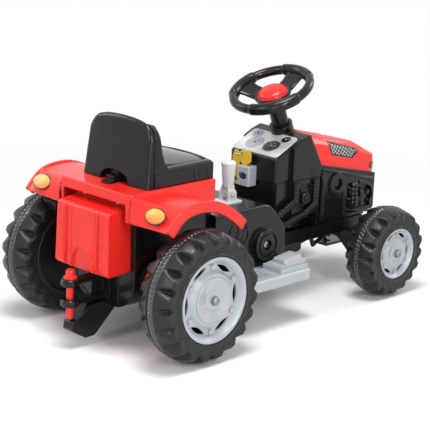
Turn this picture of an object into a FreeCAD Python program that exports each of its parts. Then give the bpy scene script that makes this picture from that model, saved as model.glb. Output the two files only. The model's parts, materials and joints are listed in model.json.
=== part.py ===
import FreeCAD, Part
import math
import os
from FreeCAD import Placement, Rotation, Vector

# Ride-on tractor toy, millimetres. Built with x to the right, y forward from the rear axle and
# z up from the ground, then moved along y so that the origin is under the middle of the length.

# Fits, gaps and walls
RUN_FIT = 0.05
SEAT_GAP = 0.3
WALL = 4.0
SKIN = 3.5
PAST = 1.0

# Wheels and axles
WHEELBASE = 610.0
REAR_TYRE_R = 130.0
REAR_TYRE_WIDTH = 84.0
REAR_RIM_R = 84.0
REAR_HUB_R = 18.0
REAR_MID_X = 206.0
REAR_LUGS = 20
FRONT_TYRE_R = 98.0
FRONT_TYRE_WIDTH = 74.0
FRONT_RIM_R = 55.0
FRONT_HUB_R = 15.0
FRONT_MID_X = 160.0
FRONT_LUGS = 18
TREAD_BAND = 11.0
SHOULDER_DROP = 12.0
SHOULDER_BEVEL = 5.0
BEAD_BEVEL = 3.0
LUG_ROOT = 0.39
LUG_OPENING = 0.34
WEB_INSET = 6.0
WEB_THICK = 5.0
RIM_FACE = 3.0
RIM_WALL = 4.0
RIM_LIP = 0.085
RIM_VALLEY = 0.145
RIM_DISC = 0.6
RIM_RINGS = (0.55, 0.45)
RIM_SLOTS = 6
SLOT_RING = 0.76
SLOT_LENGTH = 0.25
SLOT_WIDTH = 0.06
STUD_RISE = 5.0
HUB_STEP = 2.0
HUB_OVERHANG = 4.0
REAR_AXLE_R = 6.0
STUB_R = 5.0
NUT_R = 9.0
NUT_DEPTH = 6.0
NUT_HEIGHT = 11.0
NUT_FLATS = 0.6

# Rear and middle chassis
CHASSIS_HALF = 90.0
CHASSIS_REAR_Y = -60.0
CHASSIS_DROP = 55.0
CHASSIS_CORNER_R = 60.0
SPLIT_Y = 140.0
REAR_RECESS = 1.5
RECESS_EDGE = 6.0
RECESS_RISE = 20.0
REAR_RIB_X = 40.0
REAR_RIB = 4.0
FLANGE_R = 45.0
FLANGE_LENGTH = 14.0
SPIGOT_R = 16.0
HUMP_OVERHANG = 15.0
HUMP_STEP = 22.0
HUMP_DROP = 40.0
HUMP_NOSE = (50.0, 56.0)
HUMP_CURVES = (40.0, 22.0, 26.0)
HUMP_EDGE = 7.0
HUMP_WINDOW = 60.0
BOSS_BACK = 69.0
BOSS_RISE = 28.0
BOSS_R = 33.0
BOSS_HEIGHT = 13.0
BOSS_WELL_R = 11.0
BOSS_WELL = 8.0
BOSS_RING = (22.0, 27.0)
BOSS_RING_DEPTH = 3.0
DISC_DROP = 52.0
DISC_R = 30.0
DISC_LINE = 5.0
SCREW_R = 7.0
SCREW_HEAD = 4.0

# Fender unit and seat
ARCH_GAP = 49.0
PLINTH_STEP = 7.0
PLINTH_HEIGHT = 54.0
PLINTH_OVERHANG = 14.0
PLINTH_REAR = -89.0
CROSS_BAR = 20.0
COLUMN = 14.0
HATCH_HALF = 70.0
HATCH_REAR = -20.0
HATCH_FRONT = 120.0
FENDER_OUT = 208.0
LIP = 7.0
LIP_DEPTH = 21.0
LIP_RISE = 3.0
TAIL_X = 165.5
TAIL_HALF_WIDTH = 25.0
TAIL_HALF_HEIGHT = 15.0
TAIL_RISE = 6.0
SEAT_MARGIN = 9.0
SEAT_REAR = -41.0
SEAT_HEIGHT = 125.0
SEAT_LEAN = 14.0
SEAT_TAPER = 7.0
SEAT_CORNER_R = 34.0
SEAT_EDGE = 8.0
SEAT_CROWN_R = 600.0
SEAT_SPLIT = 22.0
SEAT_GROOVE = 2.0
COVER_TOP = 12.0
PAN_HEIGHT = 36.0
PAN_FRONT = 137.0
PAN_BULGE = 20.0
PAN_EDGE = 8.0
BACK_THICK = 13.0
WING = 28.0
RIM_BAND = 16.0
DISH = 7.0
SEAT_NOTCH = (18.0, 26.0, 13.0)
HINGE_FORWARD = 6.0
HINGE_DROP = 6.0
HINGE_PIN_R = 3.0
HINGE_X = 50.0
HINGE_WIDTH = 6.0
LATCH_HALF = 10.0
LATCH_LENGTH = 22.0
LATCH_THICK = 4.0
LATCH_TONGUE = 14.0

# Rear box and hitch
BOX_HALF = 76.0
BOX_FLARE = 2.0
BOX_DEPTH = 58.0
BOX_LIFT = 20.0
BOX_OVER = 15.0
BOX_WALL = 6.0
BOX_FLUTE_X = 46.0
BOX_FLUTE = 5.0
BOX_ARCH = (26.0, 42.0)
BOX_RELIEF = 4.0
FLANGE_RISE = 14.0
BOX_SCREW_X = 48.0
BOX_SCREW_R = 2.0
HITCH_Y = -145.0
RING_R = 18.0
RING_HEIGHT = 14.0
RING_EDGE = 2.0
UPPER_RING_RISE = 4.0
LOWER_RING_RISE = 18.0
ARM_HALF = 8.0
ARM_ROOT = 11.0
HITCH_PLATE = 24.0
HITCH_PLATE_THICK = 5.0
HITCH_WEB = 8.0
HITCH_WEB_REACH = 34.0
PIN_R = 7.0
PIN_REACH = 33.0
PIN_COLLAR_R = 13.0
PIN_HEAD = 18.0
HOOK_HALF = 14.0
HOOK_DROP = 57.0

# Engine, cowl and bonnet
COWL_HALF = 66.0
COWL_REAR = 350.0
COWL_STEP = 48.0
COWL_WALL = 6.0
ENGINE_HALF = 74.0
ENGINE_RISE = 15.0
ENGINE_WALL = 10.0
ENGINE_OVERHANG = 58.0
SEAM_RISE = 24.0
DASH_RISE = 54.0
DASH_RUN = (74.0, 34.0)
DASH_MARGIN = 3.0
DASH_THICK = 3.0
DASH_CORNER_R = 8.0
COLLAR_WALL = 7.0
COLLAR = (6.0, 14.0)
BONNET_TOP_BACK = (97.0, 41.0)
BONNET_LOW_BACK = (137.0, 24.0)
BONNET_SLOPE = 12.9
BONNET_DEPTH = 64.0
BONNET_SHOULDER = 18.0
BONNET_TOP_HALF = 48.0
BONNET_WALL = 3.0
NOSE_OVERHANG = 96.0
NOSE_CORNER = 45.0
NOSE_ROLL = (58.0, 40.0)
NOSE_CURVES = (50.0, 22.0, 6.0)
CREST_HALF = 26.0
CREST_RISE = 3.0
CREST_END = 72.0
GRILLE_SINK = 1.0
WINDOW_CURVE = 4.0
WINDOW = ((0.327, 9.0), (0.818, 16.0), (0.678, 38.0), (0.35, 37.0))
LAMP_X = 36.0
LAMP_BACK = 74.0
LAMP_RISE = 15.0
LAMP_HALF = (13.0, 8.0)
GRILLE_DEPTH = 16.0
GRILLE_BARS = 5
HOSE_R = 7.0
HOSE_RIB = 1.5
HOSE_PITCH = 8.0
HOSE_OUT = 2.0

# Front frame, steering and front axle
FRAME_RISE = 20.0
FRAME_HALF = 60.0
FRAME_PLATE = 10.0
FRAME_OVERHANG = 40.0
RAIL_WIDTH = 12.0
FRAME_HOLE = (34.0, 46.0, 60.0)
BEAM_SEAT = 20.0
KING_X = 100.0
KING_R = 4.0
KING_HEAD_R = 7.0
SLEEVE_R = 9.5
SLEEVE_HALF = 13.5
LUG_THICK = 10.0
BEAM_HALF_WIDTH = 13.0
BEAM_DEPTH = 18.0
BEAM_END = 12.0
WEB_X = 78.0
WEB = 4.0
ARM_LENGTH = 40.0
ARM_THICK = 6.0
ARM_WIDTH = 6.0
TIE_THICK = 6.0
TIE_PIN_R = 3.5
TIE_HALF = 7.0
TIE_TAB = 18.0
TIE_SLOT = (8.5, 11.5)
STEER_RISE = 132.0
STEER_R = 84.0
GRIP_R = 9.5
HUB_R = 39.0
HUB_DEPTH = 26.0
HUB_FLOOR = 10.0
HORN_RIM = 6.0
HORN_TRAVEL = 3.0
HORN_RISE = 9.0
SPOKES = ((142.0, 13.0), (38.0, 13.0), (270.0, 24.0))
SPOKE_THICK = 9.0
SPOKE_FLARE = 6.0
STEER_CLOCK = 46.0
COLUMN_R = 18.0
COLUMN_LENGTH = 72.0
STEER_ROD_R = 5.0
STEER_FOOT_BACK = 52.6
CRANK_DROP = 16.0
CRANK_PIN = 24.0
FRAME_BOSS_R = 14.0
FRAME_BOSS = 21.0

# Footrests, pedal, lever and ignition
STEP_OUT = 182.0
STEP_GAP = 12.0
STEP_LAP = 2.0
STEP_DROP = 18.0
STEP_DEPTH = 22.0
STEP_CORNER_R = 14.0
STEP_EDGE = 4.0
TREADS = 7
TREAD_PITCH = 12.0
TREAD_WIDTH = 4.0
TREAD_RISE = 2.5
TREAD_EDGE = 14.0
PEDAL_IN = 124.0
PEDAL_OUT = 170.0
PEDAL_LENGTH = 70.0
PEDAL_BACK = 12.0
PEDAL_FRAME = 10.0
PEDAL_FRAME_WALL = 5.0
PEDAL_SIDE = 0.6
PEDAL_PIN_R = 2.5
PEDAL_PIN = (7.0, 6.0)
PEDAL_RIBS = 5
PEDAL_RIB = 4.0
PEDAL_RIB_PITCH = 11.0
SWITCH_BACK = 16.0
SWITCH_R = 2.0
SWITCH_CASE = (6.0, 10.0, 12.0)
LEVER_X = 40.0
LEVER_FORWARD = 97.0
LEVER_PIVOT = 18.0
LEVER_LENGTH = 68.0
LEVER_R = 16.0
LEVER_FOOT_R = 11.0
LEVER_EDGE = 5.0
LEVER_EYE_R = 9.0
LEVER_PIN_R = 3.0
LEVER_BASE = (12.0, 24.0)
CHEEK_R = 12.0
CHEEK_THICK = 4.0
CHEEK_GAP = 20.0
IGNITION_X = (-22.0, 12.0)
IGNITION_Z = (-12.0, 30.0)
IGNITION_DEPTH = 24.0
IGNITION_OVAL = (11.0, 8.0, 1.2)
KEY_X = -10.0
KEY_R = 3.5
KEY_DEPTH = 20.0
BOW_HALF = 16.0
BOW_HEIGHT = 30.0
BOW_HOLE_R = 3.2
BOW_HOLE = (6.0, 8.0)
KEY_THICK = 4.0
KEY_RING_R = 8.0
KEY_WIRE_R = 1.2
TAG_LENGTH = 74.0
TAG_HALF = 10.0
TAG_THICK = 3.0
TAG_NECK = (5.0, 14.0)
TAG_HOLE = (5.0, 12.0)

# Drive train
MODULE = 2.0
OUTPUT_TEETH = 38
SMALL_TEETH = 11
LARGE_TEETH = 30
PINION_TEETH = 10
BACKLASH = 0.7
REDUCTION_ANGLE = 75.0
MOTOR_ANGLE = 10.0
GEAR_SPACE = 48.0
GEAR_LEAD = 7.0
GEAR_WIDTH = 10.0
GEAR_SHAFT_R = 3.0
MOTOR_SHAFT_R = 1.6
MOTOR_R = 18.0
MOTOR_LENGTH = 57.0
MOTOR_TAIL = (4.0, 6.0)
PLATE_THICK = 4.0
PLATE_MARGIN = 22.0
PLATE_CORNER_R = 15.0
HUB_TUBE_R = 16.0
DRIVE_R = 50.0
DRIVE_DISC = 12.0
DRIVE_NECK = (42.0, 26.0)
BATTERY = (70.0, 46.0, 101.0)
BATTERY_X = -36.0
POST = (6.0, 2.0, 7.0)
POST_INSET = 10.0

# Heights that follow from the wheels
AXLE_Z = REAR_TYRE_R
FENDER_TOP = 2 * REAR_TYRE_R + ARCH_GAP
PLINTH_TOP = FENDER_TOP + PLINTH_STEP
CHASSIS_TOP = PLINTH_TOP - PLINTH_HEIGHT
CHASSIS_Z = AXLE_Z - CHASSIS_DROP
FLOOR_Z = CHASSIS_Z + WALL
HUMP_TOP = CHASSIS_TOP - HUMP_STEP
HUMP_FLOOR = AXLE_Z - HUMP_DROP
STEP_TOP = AXLE_Z - STEP_DROP
FRAME_TOP = AXLE_Z + FRAME_RISE
ENGINE_FLOOR = FRAME_TOP + ENGINE_RISE
SEAM_Z = HUMP_TOP + SEAM_RISE
DASH_LOW_Z = SEAM_Z + DASH_RISE
STEER_Z = DASH_LOW_Z + STEER_RISE
BOX_FLOOR = AXLE_Z + BOX_LIFT
BOX_TOP = CHASSIS_TOP + BOX_OVER
UPPER_RING_Z = AXLE_Z + UPPER_RING_RISE
LOWER_RING_Z = CHASSIS_Z + LOWER_RING_RISE
SEAT_BASE = PLINTH_TOP + SEAT_GAP
SEAT_TOP = SEAT_BASE + SEAT_HEIGHT
PAN_TOP = SEAT_BASE + PAN_HEIGHT
HINGE_Z = PLINTH_TOP - HINGE_DROP
LEVER_Z = HUMP_TOP + LEVER_PIVOT
LEVER_TOP = LEVER_Z + LEVER_LENGTH
IGNITION_LOW = SEAM_Z + IGNITION_Z[0]
IGNITION_TOP = SEAM_Z + IGNITION_Z[1]
BEAM_TOP = FRONT_TYRE_R + SLEEVE_HALF + SEAT_GAP + LUG_THICK
BEAM_FLOOR = FRONT_TYRE_R - SLEEVE_HALF - SEAT_GAP - LUG_THICK
ARM_FLOOR = FRONT_TYRE_R - SLEEVE_HALF
TIE_TOP = ARM_FLOOR - SEAT_GAP
TIE_LOW = TIE_TOP - TIE_THICK
CRANK_FOOT_Z = FRONT_TYRE_R - CRANK_DROP

# Widths and lengths that follow
INNER_HALF = CHASSIS_HALF - WALL
FLANGE_X = CHASSIS_HALF + FLANGE_LENGTH
HUMP_HALF = CHASSIS_HALF + HUMP_OVERHANG
PLINTH_HALF = CHASSIS_HALF + PLINTH_OVERHANG
SEAT_HALF = PLINTH_HALF - SEAT_MARGIN
RIM_INNER_X = REAR_MID_X - REAR_TYRE_WIDTH / 2 - HUB_OVERHANG
REAR_HUB_X = REAR_MID_X + REAR_TYRE_WIDTH / 2 - RIM_FACE
FRONT_HUB_X = FRONT_MID_X + FRONT_TYRE_WIDTH / 2 - RIM_FACE
PLATE_X = INNER_HALF - GEAR_SPACE
GEAR_X = PLATE_X + PLATE_THICK
HUMP_FRONT = COWL_REAR
BOSS_Y = HUMP_FRONT - BOSS_BACK
BOSS_Z = AXLE_Z + BOSS_RISE
DISC_Z = HUMP_TOP - DISC_DROP
DISC_Y = (SPLIT_Y + BOSS_Y - DISC_LINE) / 2
HINGE_Y = SPLIT_Y + HINGE_FORWARD
HINGE_LUG_R = HINGE_DROP - SEAT_GAP
STEER_Y = COWL_REAR + COWL_STEP
STEP_REAR = SPLIT_Y + STEP_GAP
STEP_FRONT = HUMP_FRONT + STEP_LAP
PEDAL_FRONT = STEP_FRONT - PEDAL_BACK
PEDAL_REAR = PEDAL_FRONT - PEDAL_LENGTH
LEVER_Y = SPLIT_Y + LEVER_FORWARD
IGNITION_Y = COWL_REAR - IGNITION_DEPTH / 2
ENGINE_FRONT = WHEELBASE + ENGINE_OVERHANG
NOSE_Y = WHEELBASE + NOSE_OVERHANG
FRAME_FRONT = WHEELBASE + FRAME_OVERHANG
TIE_Y = WHEELBASE + ARM_LENGTH
STEER_FOOT_Y = WHEELBASE - STEER_FOOT_BACK
STEER_TILT = math.degrees(math.atan2(STEER_FOOT_Y - STEER_Y, STEER_Z - CRANK_FOOT_Z))
HORN_R = HUB_R - HORN_RIM
KEY_HOLE_X = KEY_X - BOW_HALF + BOW_HOLE[0]
KEY_HOLE_Z = IGNITION_TOP + BOW_HEIGHT - BOW_HOLE[1]
TAG_X = KEY_HOLE_X - 2 * KEY_RING_R
Y_MIDDLE = (WHEELBASE + FRONT_TYRE_R + HITCH_Y - RING_R) / 2


def rounded(points, radius):
    radii = radius if isinstance(radius, (list, tuple)) else [radius] * len(points)
    corners = []
    for i, corner in enumerate(points):
        before = (points[i - 1] - corner).normalize()
        after = (points[(i + 1) % len(points)] - corner).normalize()
        half = math.acos(max(-1.0, min(1.0, before.dot(after)))) / 2
        if radii[i] == 0:
            corners.append((corner, None, corner))
            continue
        reach = radii[i] / math.tan(half)
        top = corner + (before + after).normalize() * (radii[i] / math.sin(half) - radii[i])
        corners.append((corner + before * reach, top, corner + after * reach))
    edges = []
    for i, (start, top, stop) in enumerate(corners):
        if top:
            edges.append(Part.Arc(start, top, stop).toShape())
        following = corners[(i + 1) % len(corners)][0]
        if (following - stop).Length > 1e-6:
            edges.append(Part.makeLine(stop, following))
    return Part.Wire(edges)


def side(points, radius, x0, x1):
    wire = rounded([Vector(x0, y, z) for y, z in points], radius)
    return Part.Face(wire).extrude(Vector(x1 - x0, 0, 0))


def plan(points, radius, z0, z1):
    wire = rounded([Vector(x, y, z0) for x, y in points], radius)
    return Part.Face(wire).extrude(Vector(0, 0, z1 - z0))


def front(points, radius, y0, y1):
    wire = rounded([Vector(x, y0, z) for x, z in points], radius)
    return Part.Face(wire).extrude(Vector(0, y1 - y0, 0))


def corners(x0, x1, y0, y1):
    return [(x0, y0), (x1, y0), (x1, y1), (x0, y1)]


def block(x0, x1, y0, y1, z0, z1):
    return Part.makeBox(x1 - x0, y1 - y0, z1 - z0, Vector(x0, y0, z0))


def rod(start, end, radius):
    line = end - start
    return Part.makeCylinder(radius, line.Length, start, line)


def rod_x(x0, x1, y, z, radius):
    return rod(Vector(x0, y, z), Vector(x1, y, z), radius)


def rod_z(x, y, z0, z1, radius):
    return rod(Vector(x, y, z0), Vector(x, y, z1), radius)


def ring_x(x0, x1, y, z, inner, outer):
    return rod_x(x0, x1, y, z, outer).cut(rod_x(x0 - PAST, x1 + PAST, y, z, inner))


def oval(half_width, half_height, depth):
    wire = Part.Wire(Part.Ellipse(Vector(), half_width, half_height).toShape())
    return Part.Face(wire).extrude(Vector(0, 0, depth))


def turned(points, radius):
    wire = rounded([Vector(u, 0, r) for u, r in points], radius)
    return Part.Face(wire).revolve(Vector(), Vector(1, 0, 0), 360)


def mirrored(shape):
    return shape.mirror(Vector(), Vector(1, 0, 0))


def pair(shape):
    return Part.makeCompound([shape, mirrored(shape)])


def both(shapes):
    return shapes + [mirrored(shape) for shape in shapes]


def inset(points, radius, distance, half):
    wire = rounded([Vector(-half, y, z) for y, z in points], radius)
    return Part.Face(wire.makeOffset2D(-distance)).extrude(Vector(2 * half, 0, 0))


def softened(shape, radius, chosen):
    return shape.makeFillet(radius, [edge for edge in shape.Edges if chosen(edge.CenterOfMass, edge)])


def steered(shape):
    spot = Placement(Vector(0, STEER_Y, STEER_Z), Rotation(Vector(1, 0, 0), STEER_TILT))
    shape.Placement = spot.multiply(shape.Placement)
    return shape


def down_column(z):
    return (STEER_Z - z) / math.cos(math.radians(STEER_TILT))


def steer_bore(radius):
    return steered(rod_z(0, 0, -2 * STEER_Z, 0, radius))


# Tyres and rims

def tyre(radius, width, rim_r, hub_r, lugs):
    half = width / 2
    bead = rim_r + SEAT_GAP
    bore = hub_r + SEAT_GAP
    shoulder = radius - SHOULDER_DROP
    wall = shoulder - SHOULDER_BEVEL
    web = WEB_INSET - half
    inner_side = [(web, bore), (web, bead - BEAD_BEVEL), (-half, bead + BEAD_BEVEL), (-half, wall)]
    tread = [(SHOULDER_BEVEL - half, shoulder), (-TREAD_BAND, radius), (TREAD_BAND, radius),
             (half - SHOULDER_BEVEL, shoulder)]
    outer_side = [(half, wall), (half, bead + BEAD_BEVEL), (half - BEAD_BEVEL, bead),
                  (web + WEB_THICK, bead), (web + WEB_THICK, bore)]
    body = turned(inner_side + tread + outer_side, 0)
    root = bead + LUG_ROOT * (shoulder - bead)
    depth = shoulder - root
    opening = LUG_OPENING * 2 * math.pi * radius / lugs
    fall = (radius - root) * half / (half - TREAD_BAND)
    tip = Vector(TREAD_BAND, 0, radius)
    wedge = [tip + Vector(0, -opening, depth), tip, tip + Vector(0, opening, depth)]
    notch = Part.Face(Part.makePolygon(wedge + wedge[:1])).extrude(Vector(half, 0, -fall))
    cuts = []
    for i in range(lugs):
        for flip in (0, 1):
            cut = mirrored(notch) if flip else notch.copy()
            cut.rotate(Vector(), Vector(1, 0, 0), (i + flip / 2) * 360 / lugs)
            cuts.append(cut)
    return body.cut(cuts)


def lens(half_length, half_width, x0, x1, r):
    ends = [Vector(x0, -half_length, r), Vector(x0, half_length, r)]
    over = Part.Arc(ends[0], Vector(x0, 0, r + half_width), ends[1]).toShape()
    under = Part.Arc(ends[1], Vector(x0, 0, r - half_width), ends[0]).toShape()
    return Part.Face(Part.Wire([over, under])).extrude(Vector(x1 - x0, 0, 0))


def rim(radius, width, hub, bore):
    half = width / 2
    face = half - RIM_FACE
    dish = face - HUB_STEP
    lip = RIM_LIP * radius
    floor = half - RIM_VALLEY * radius
    disc = RIM_DISC * radius
    end = floor - 2 * RIM_WALL
    outline = [(end, radius), (half, radius), (half, radius - lip + HUB_STEP),
               (half - HUB_STEP, radius - lip), (floor, radius - 2 * lip), (floor, disc + lip),
               (dish, disc)]
    for share in RIM_RINGS:
        ridge = share * radius
        outline += [(dish, ridge + 1), (dish + 1, ridge), (dish, ridge - 1)]
    outline += [(dish, hub + HUB_STEP + 1), (face, hub + 1), (face, bore + RUN_FIT),
                (-half - HUB_OVERHANG, bore + RUN_FIT), (-half - HUB_OVERHANG, hub), (dish - RIM_WALL, hub),
                (dish - RIM_WALL, disc), (floor - RIM_WALL, disc + lip - 1),
                (floor - RIM_WALL, radius - RIM_WALL), (end, radius - RIM_WALL)]
    body = turned(outline, 0)
    ring = SLOT_RING * radius
    slot = lens(SLOT_LENGTH * radius, SLOT_WIDTH * radius, end, half, ring)
    stud = rod_x(floor - 1, floor + STUD_RISE, 0, ring, SLOT_WIDTH * radius)
    slots = []
    studs = []
    for i in range(RIM_SLOTS):
        cut = slot.copy()
        cut.rotate(Vector(), Vector(1, 0, 0), (i + 0.5) * 360 / RIM_SLOTS)
        slots.append(cut)
        peg = stud.copy()
        peg.rotate(Vector(), Vector(1, 0, 0), i * 360 / RIM_SLOTS)
        studs.append(peg)
    return body.cut(slots).fuse(studs).removeSplitter()


def cap_nut(x, y, z, bore):
    turns = [i * math.pi / 3 for i in range(6)]
    hexagon = [Vector(x, y + NUT_R * math.cos(a), z + NUT_R * math.sin(a)) for a in turns]
    flats = NUT_FLATS * NUT_HEIGHT
    body = Part.Face(rounded(hexagon, 0)).extrude(Vector(flats, 0, 0))
    dome = Part.makeSphere(NUT_R, Vector(x + NUT_HEIGHT - NUT_R, y, z))
    dome = dome.common(rod_x(x + flats, x + NUT_HEIGHT, y, z, NUT_R))
    return body.fuse(dome).cut(rod_x(x - PAST, x + NUT_DEPTH, y, z, bore + RUN_FIT))


def rear_wheel(shape):
    shape.translate(Vector(REAR_MID_X, 0, AXLE_Z))
    return shape


def front_wheel(shape):
    shape.translate(Vector(FRONT_MID_X, WHEELBASE, FRONT_TYRE_R))
    return shape


def rear_axle():
    end = REAR_HUB_X + NUT_DEPTH
    return rod_x(-end, end, 0, AXLE_Z, REAR_AXLE_R)


# Drive train

def gear(teeth, x0, x1, y, z, bore, phase):
    radius = MODULE * teeth / 2
    spots = [(radius - 1.05 * MODULE, 1.30), (radius, 1.0), (radius + 0.8 * MODULE, 0.55)]
    thick = (math.pi * MODULE / 2 - BACKLASH) / 2 / radius
    points = []
    for i in range(teeth):
        middle = math.radians(phase) + 2 * math.pi * i / teeth
        rising = [(r, middle - thick * w) for r, w in spots]
        falling = [(r, middle + thick * w) for r, w in reversed(spots)]
        points += [Vector(x0, y + r * math.cos(a), z + r * math.sin(a)) for r, a in rising + falling]
    body = Part.Face(Part.makePolygon(points + points[:1])).extrude(Vector(x1 - x0, 0, 0))
    return body.cut(rod_x(x0 - PAST, x1 + PAST, y, z, bore))


def on_circle(y, z, distance, angle):
    turn = math.radians(angle)
    return y + distance * math.cos(turn), z + distance * math.sin(turn)


REDUCTION_Y, REDUCTION_Z = on_circle(0, AXLE_Z, MODULE * (OUTPUT_TEETH + SMALL_TEETH) / 2, REDUCTION_ANGLE)
MOTOR_Y, MOTOR_Z = on_circle(REDUCTION_Y, REDUCTION_Z, MODULE * (LARGE_TEETH + PINION_TEETH) / 2,
                             MOTOR_ANGLE)
SMALL_X0 = GEAR_X + GEAR_LEAD
SMALL_X1 = SMALL_X0 + GEAR_WIDTH + 3 * PAST
LARGE_X1 = SMALL_X1 + GEAR_WIDTH


def output_gear():
    x0 = SMALL_X0 + PAST
    return gear(OUTPUT_TEETH, x0, x0 + GEAR_WIDTH, 0, AXLE_Z, HUB_TUBE_R + RUN_FIT, REDUCTION_ANGLE)


def reduction_gear():
    bore = GEAR_SHAFT_R + RUN_FIT
    half_pitch = 180 / SMALL_TEETH
    small = gear(SMALL_TEETH, SMALL_X0, SMALL_X1, REDUCTION_Y, REDUCTION_Z, bore,
                 REDUCTION_ANGLE + 180 + half_pitch)
    large = gear(LARGE_TEETH, SMALL_X1, LARGE_X1, REDUCTION_Y, REDUCTION_Z, bore, MOTOR_ANGLE)
    return small.fuse(large)


def motor_pinion():
    half_pitch = 180 / PINION_TEETH
    return gear(PINION_TEETH, SMALL_X1 - PAST, LARGE_X1 + PAST, MOTOR_Y, MOTOR_Z, MOTOR_SHAFT_R + RUN_FIT,
                MOTOR_ANGLE + 180 + half_pitch)


def motor():
    rear = PLATE_X - MOTOR_LENGTH
    length, radius = MOTOR_TAIL
    can = rod_x(rear, PLATE_X, MOTOR_Y, MOTOR_Z, MOTOR_R)
    tail = rod_x(rear - length, rear, MOTOR_Y, MOTOR_Z, radius)
    return can.fuse([tail, rod_x(PLATE_X, LARGE_X1 + 2 * PAST, MOTOR_Y, MOTOR_Z, MOTOR_SHAFT_R)])


def gearbox_plate():
    edge = PLATE_MARGIN
    outline = [(-edge - REAR_AXLE_R, CHASSIS_Z), (-edge - REAR_AXLE_R, AXLE_Z + edge),
               (REDUCTION_Y - edge, REDUCTION_Z + edge), (MOTOR_Y + edge, MOTOR_Z + edge),
               (MOTOR_Y + edge, AXLE_Z), (MOTOR_Y, CHASSIS_Z)]
    curve = PLATE_CORNER_R
    plate = side(outline, [0, curve, curve, curve, curve, 0], PLATE_X, GEAR_X).common(tub_hollow())
    holes = [(0, AXLE_Z, REAR_AXLE_R), (MOTOR_Y, MOTOR_Z, 3 * MOTOR_SHAFT_R)]
    plate = plate.cut([rod_x(PLATE_X - PAST, GEAR_X + PAST, y, z, r + RUN_FIT) for y, z, r in holes])
    shaft = rod_x(PLATE_X, INNER_HALF, REDUCTION_Y, REDUCTION_Z, GEAR_SHAFT_R)
    return plate.fuse(shaft).removeSplitter()


def drive_hub():
    inner = SMALL_X0 - PAST
    shelf = FLANGE_X + DRIVE_DISC
    tube = rod_x(inner, FLANGE_X + SEAT_GAP + PAST, 0, AXLE_Z, HUB_TUBE_R)
    disc = rod_x(FLANGE_X + SEAT_GAP, shelf, 0, AXLE_Z, DRIVE_R)
    wide, narrow = DRIVE_NECK
    neck = Part.makeCone(wide, narrow, RIM_INNER_X - shelf, Vector(shelf, 0, AXLE_Z), Vector(1, 0, 0))
    bore = rod_x(inner - PAST, RIM_INNER_X + PAST, 0, AXLE_Z, REAR_AXLE_R + RUN_FIT)
    return tube.fuse([disc, neck]).cut(bore)


def tub_floor(x):
    curve = CHASSIS_CORNER_R - WALL
    past = max(0.0, abs(x) - INNER_HALF + curve)
    return FLOOR_Z + curve - math.sqrt(curve ** 2 - past ** 2)


def battery():
    width, depth, height = BATTERY
    y0 = SPLIT_Y - WALL - PAST - depth
    low = tub_floor(BATTERY_X) + SEAT_GAP
    case = block(BATTERY_X, BATTERY_X + width, y0, y0 + depth, low, low + height)
    case = case.makeFillet(2 * PAST, case.Edges)
    wide, thick, tall = POST
    posts = []
    for x in (BATTERY_X + POST_INSET, BATTERY_X + width - POST_INSET - wide):
        posts.append(block(x, x + wide, y0 + POST_INSET, y0 + POST_INSET + thick, low + height - PAST,
                           low + height + tall))
    return case.fuse(posts)


# Chassis

def tub_form(half, low, top, curve, y0, y1):
    return front(corners(-half, half, low, top), [curve, curve, 0, 0], y0, y1)


def tub_hollow():
    return tub_form(INNER_HALF, FLOOR_Z, CHASSIS_TOP + PAST, CHASSIS_CORNER_R - WALL, CHASSIS_REAR_Y + WALL,
                    SPLIT_Y - WALL)


def rear_chassis():
    tub = tub_form(CHASSIS_HALF, CHASSIS_Z, CHASSIS_TOP, CHASSIS_CORNER_R, CHASSIS_REAR_Y, SPLIT_Y)
    tab = front(corners(-BOX_HALF, BOX_HALF, CHASSIS_TOP - PAST, BOX_TOP + FLANGE_RISE),
                [0, 0, RECESS_EDGE, RECESS_EDGE], CHASSIS_REAR_Y, CHASSIS_REAR_Y + WALL)
    flange = rod_x(0, FLANGE_X, 0, AXLE_Z, FLANGE_R)
    spigot = rod_x(SEAT_GAP - RIM_INNER_X, 0, 0, AXLE_Z, SPIGOT_R)
    body = tub.fuse(both([flange]) + [spigot, tab]).cut(tub_hollow())
    edge = RECESS_EDGE
    recess = tub_form(CHASSIS_HALF - edge, CHASSIS_Z + edge, AXLE_Z + RECESS_RISE, CHASSIS_CORNER_R - edge,
                      CHASSIS_REAR_Y - PAST, CHASSIS_REAR_Y + REAR_RECESS)
    for s in (-1, 1):
        x = s * REAR_RIB_X
        recess = recess.cut(block(x - REAR_RIB / 2, x + REAR_RIB / 2, CHASSIS_REAR_Y - 2 * PAST,
                                  CHASSIS_REAR_Y + WALL, CHASSIS_Z, CHASSIS_TOP))
    hub_hole = rod_x(0, FLANGE_X + PAST, 0, AXLE_Z, HUB_TUBE_R + RUN_FIT)
    axle_hole = rod_x(-RIM_INNER_X, 0, 0, AXLE_Z, REAR_AXLE_R + RUN_FIT)
    return body.cut([recess, hub_hole, axle_hole]).removeSplitter()


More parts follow.
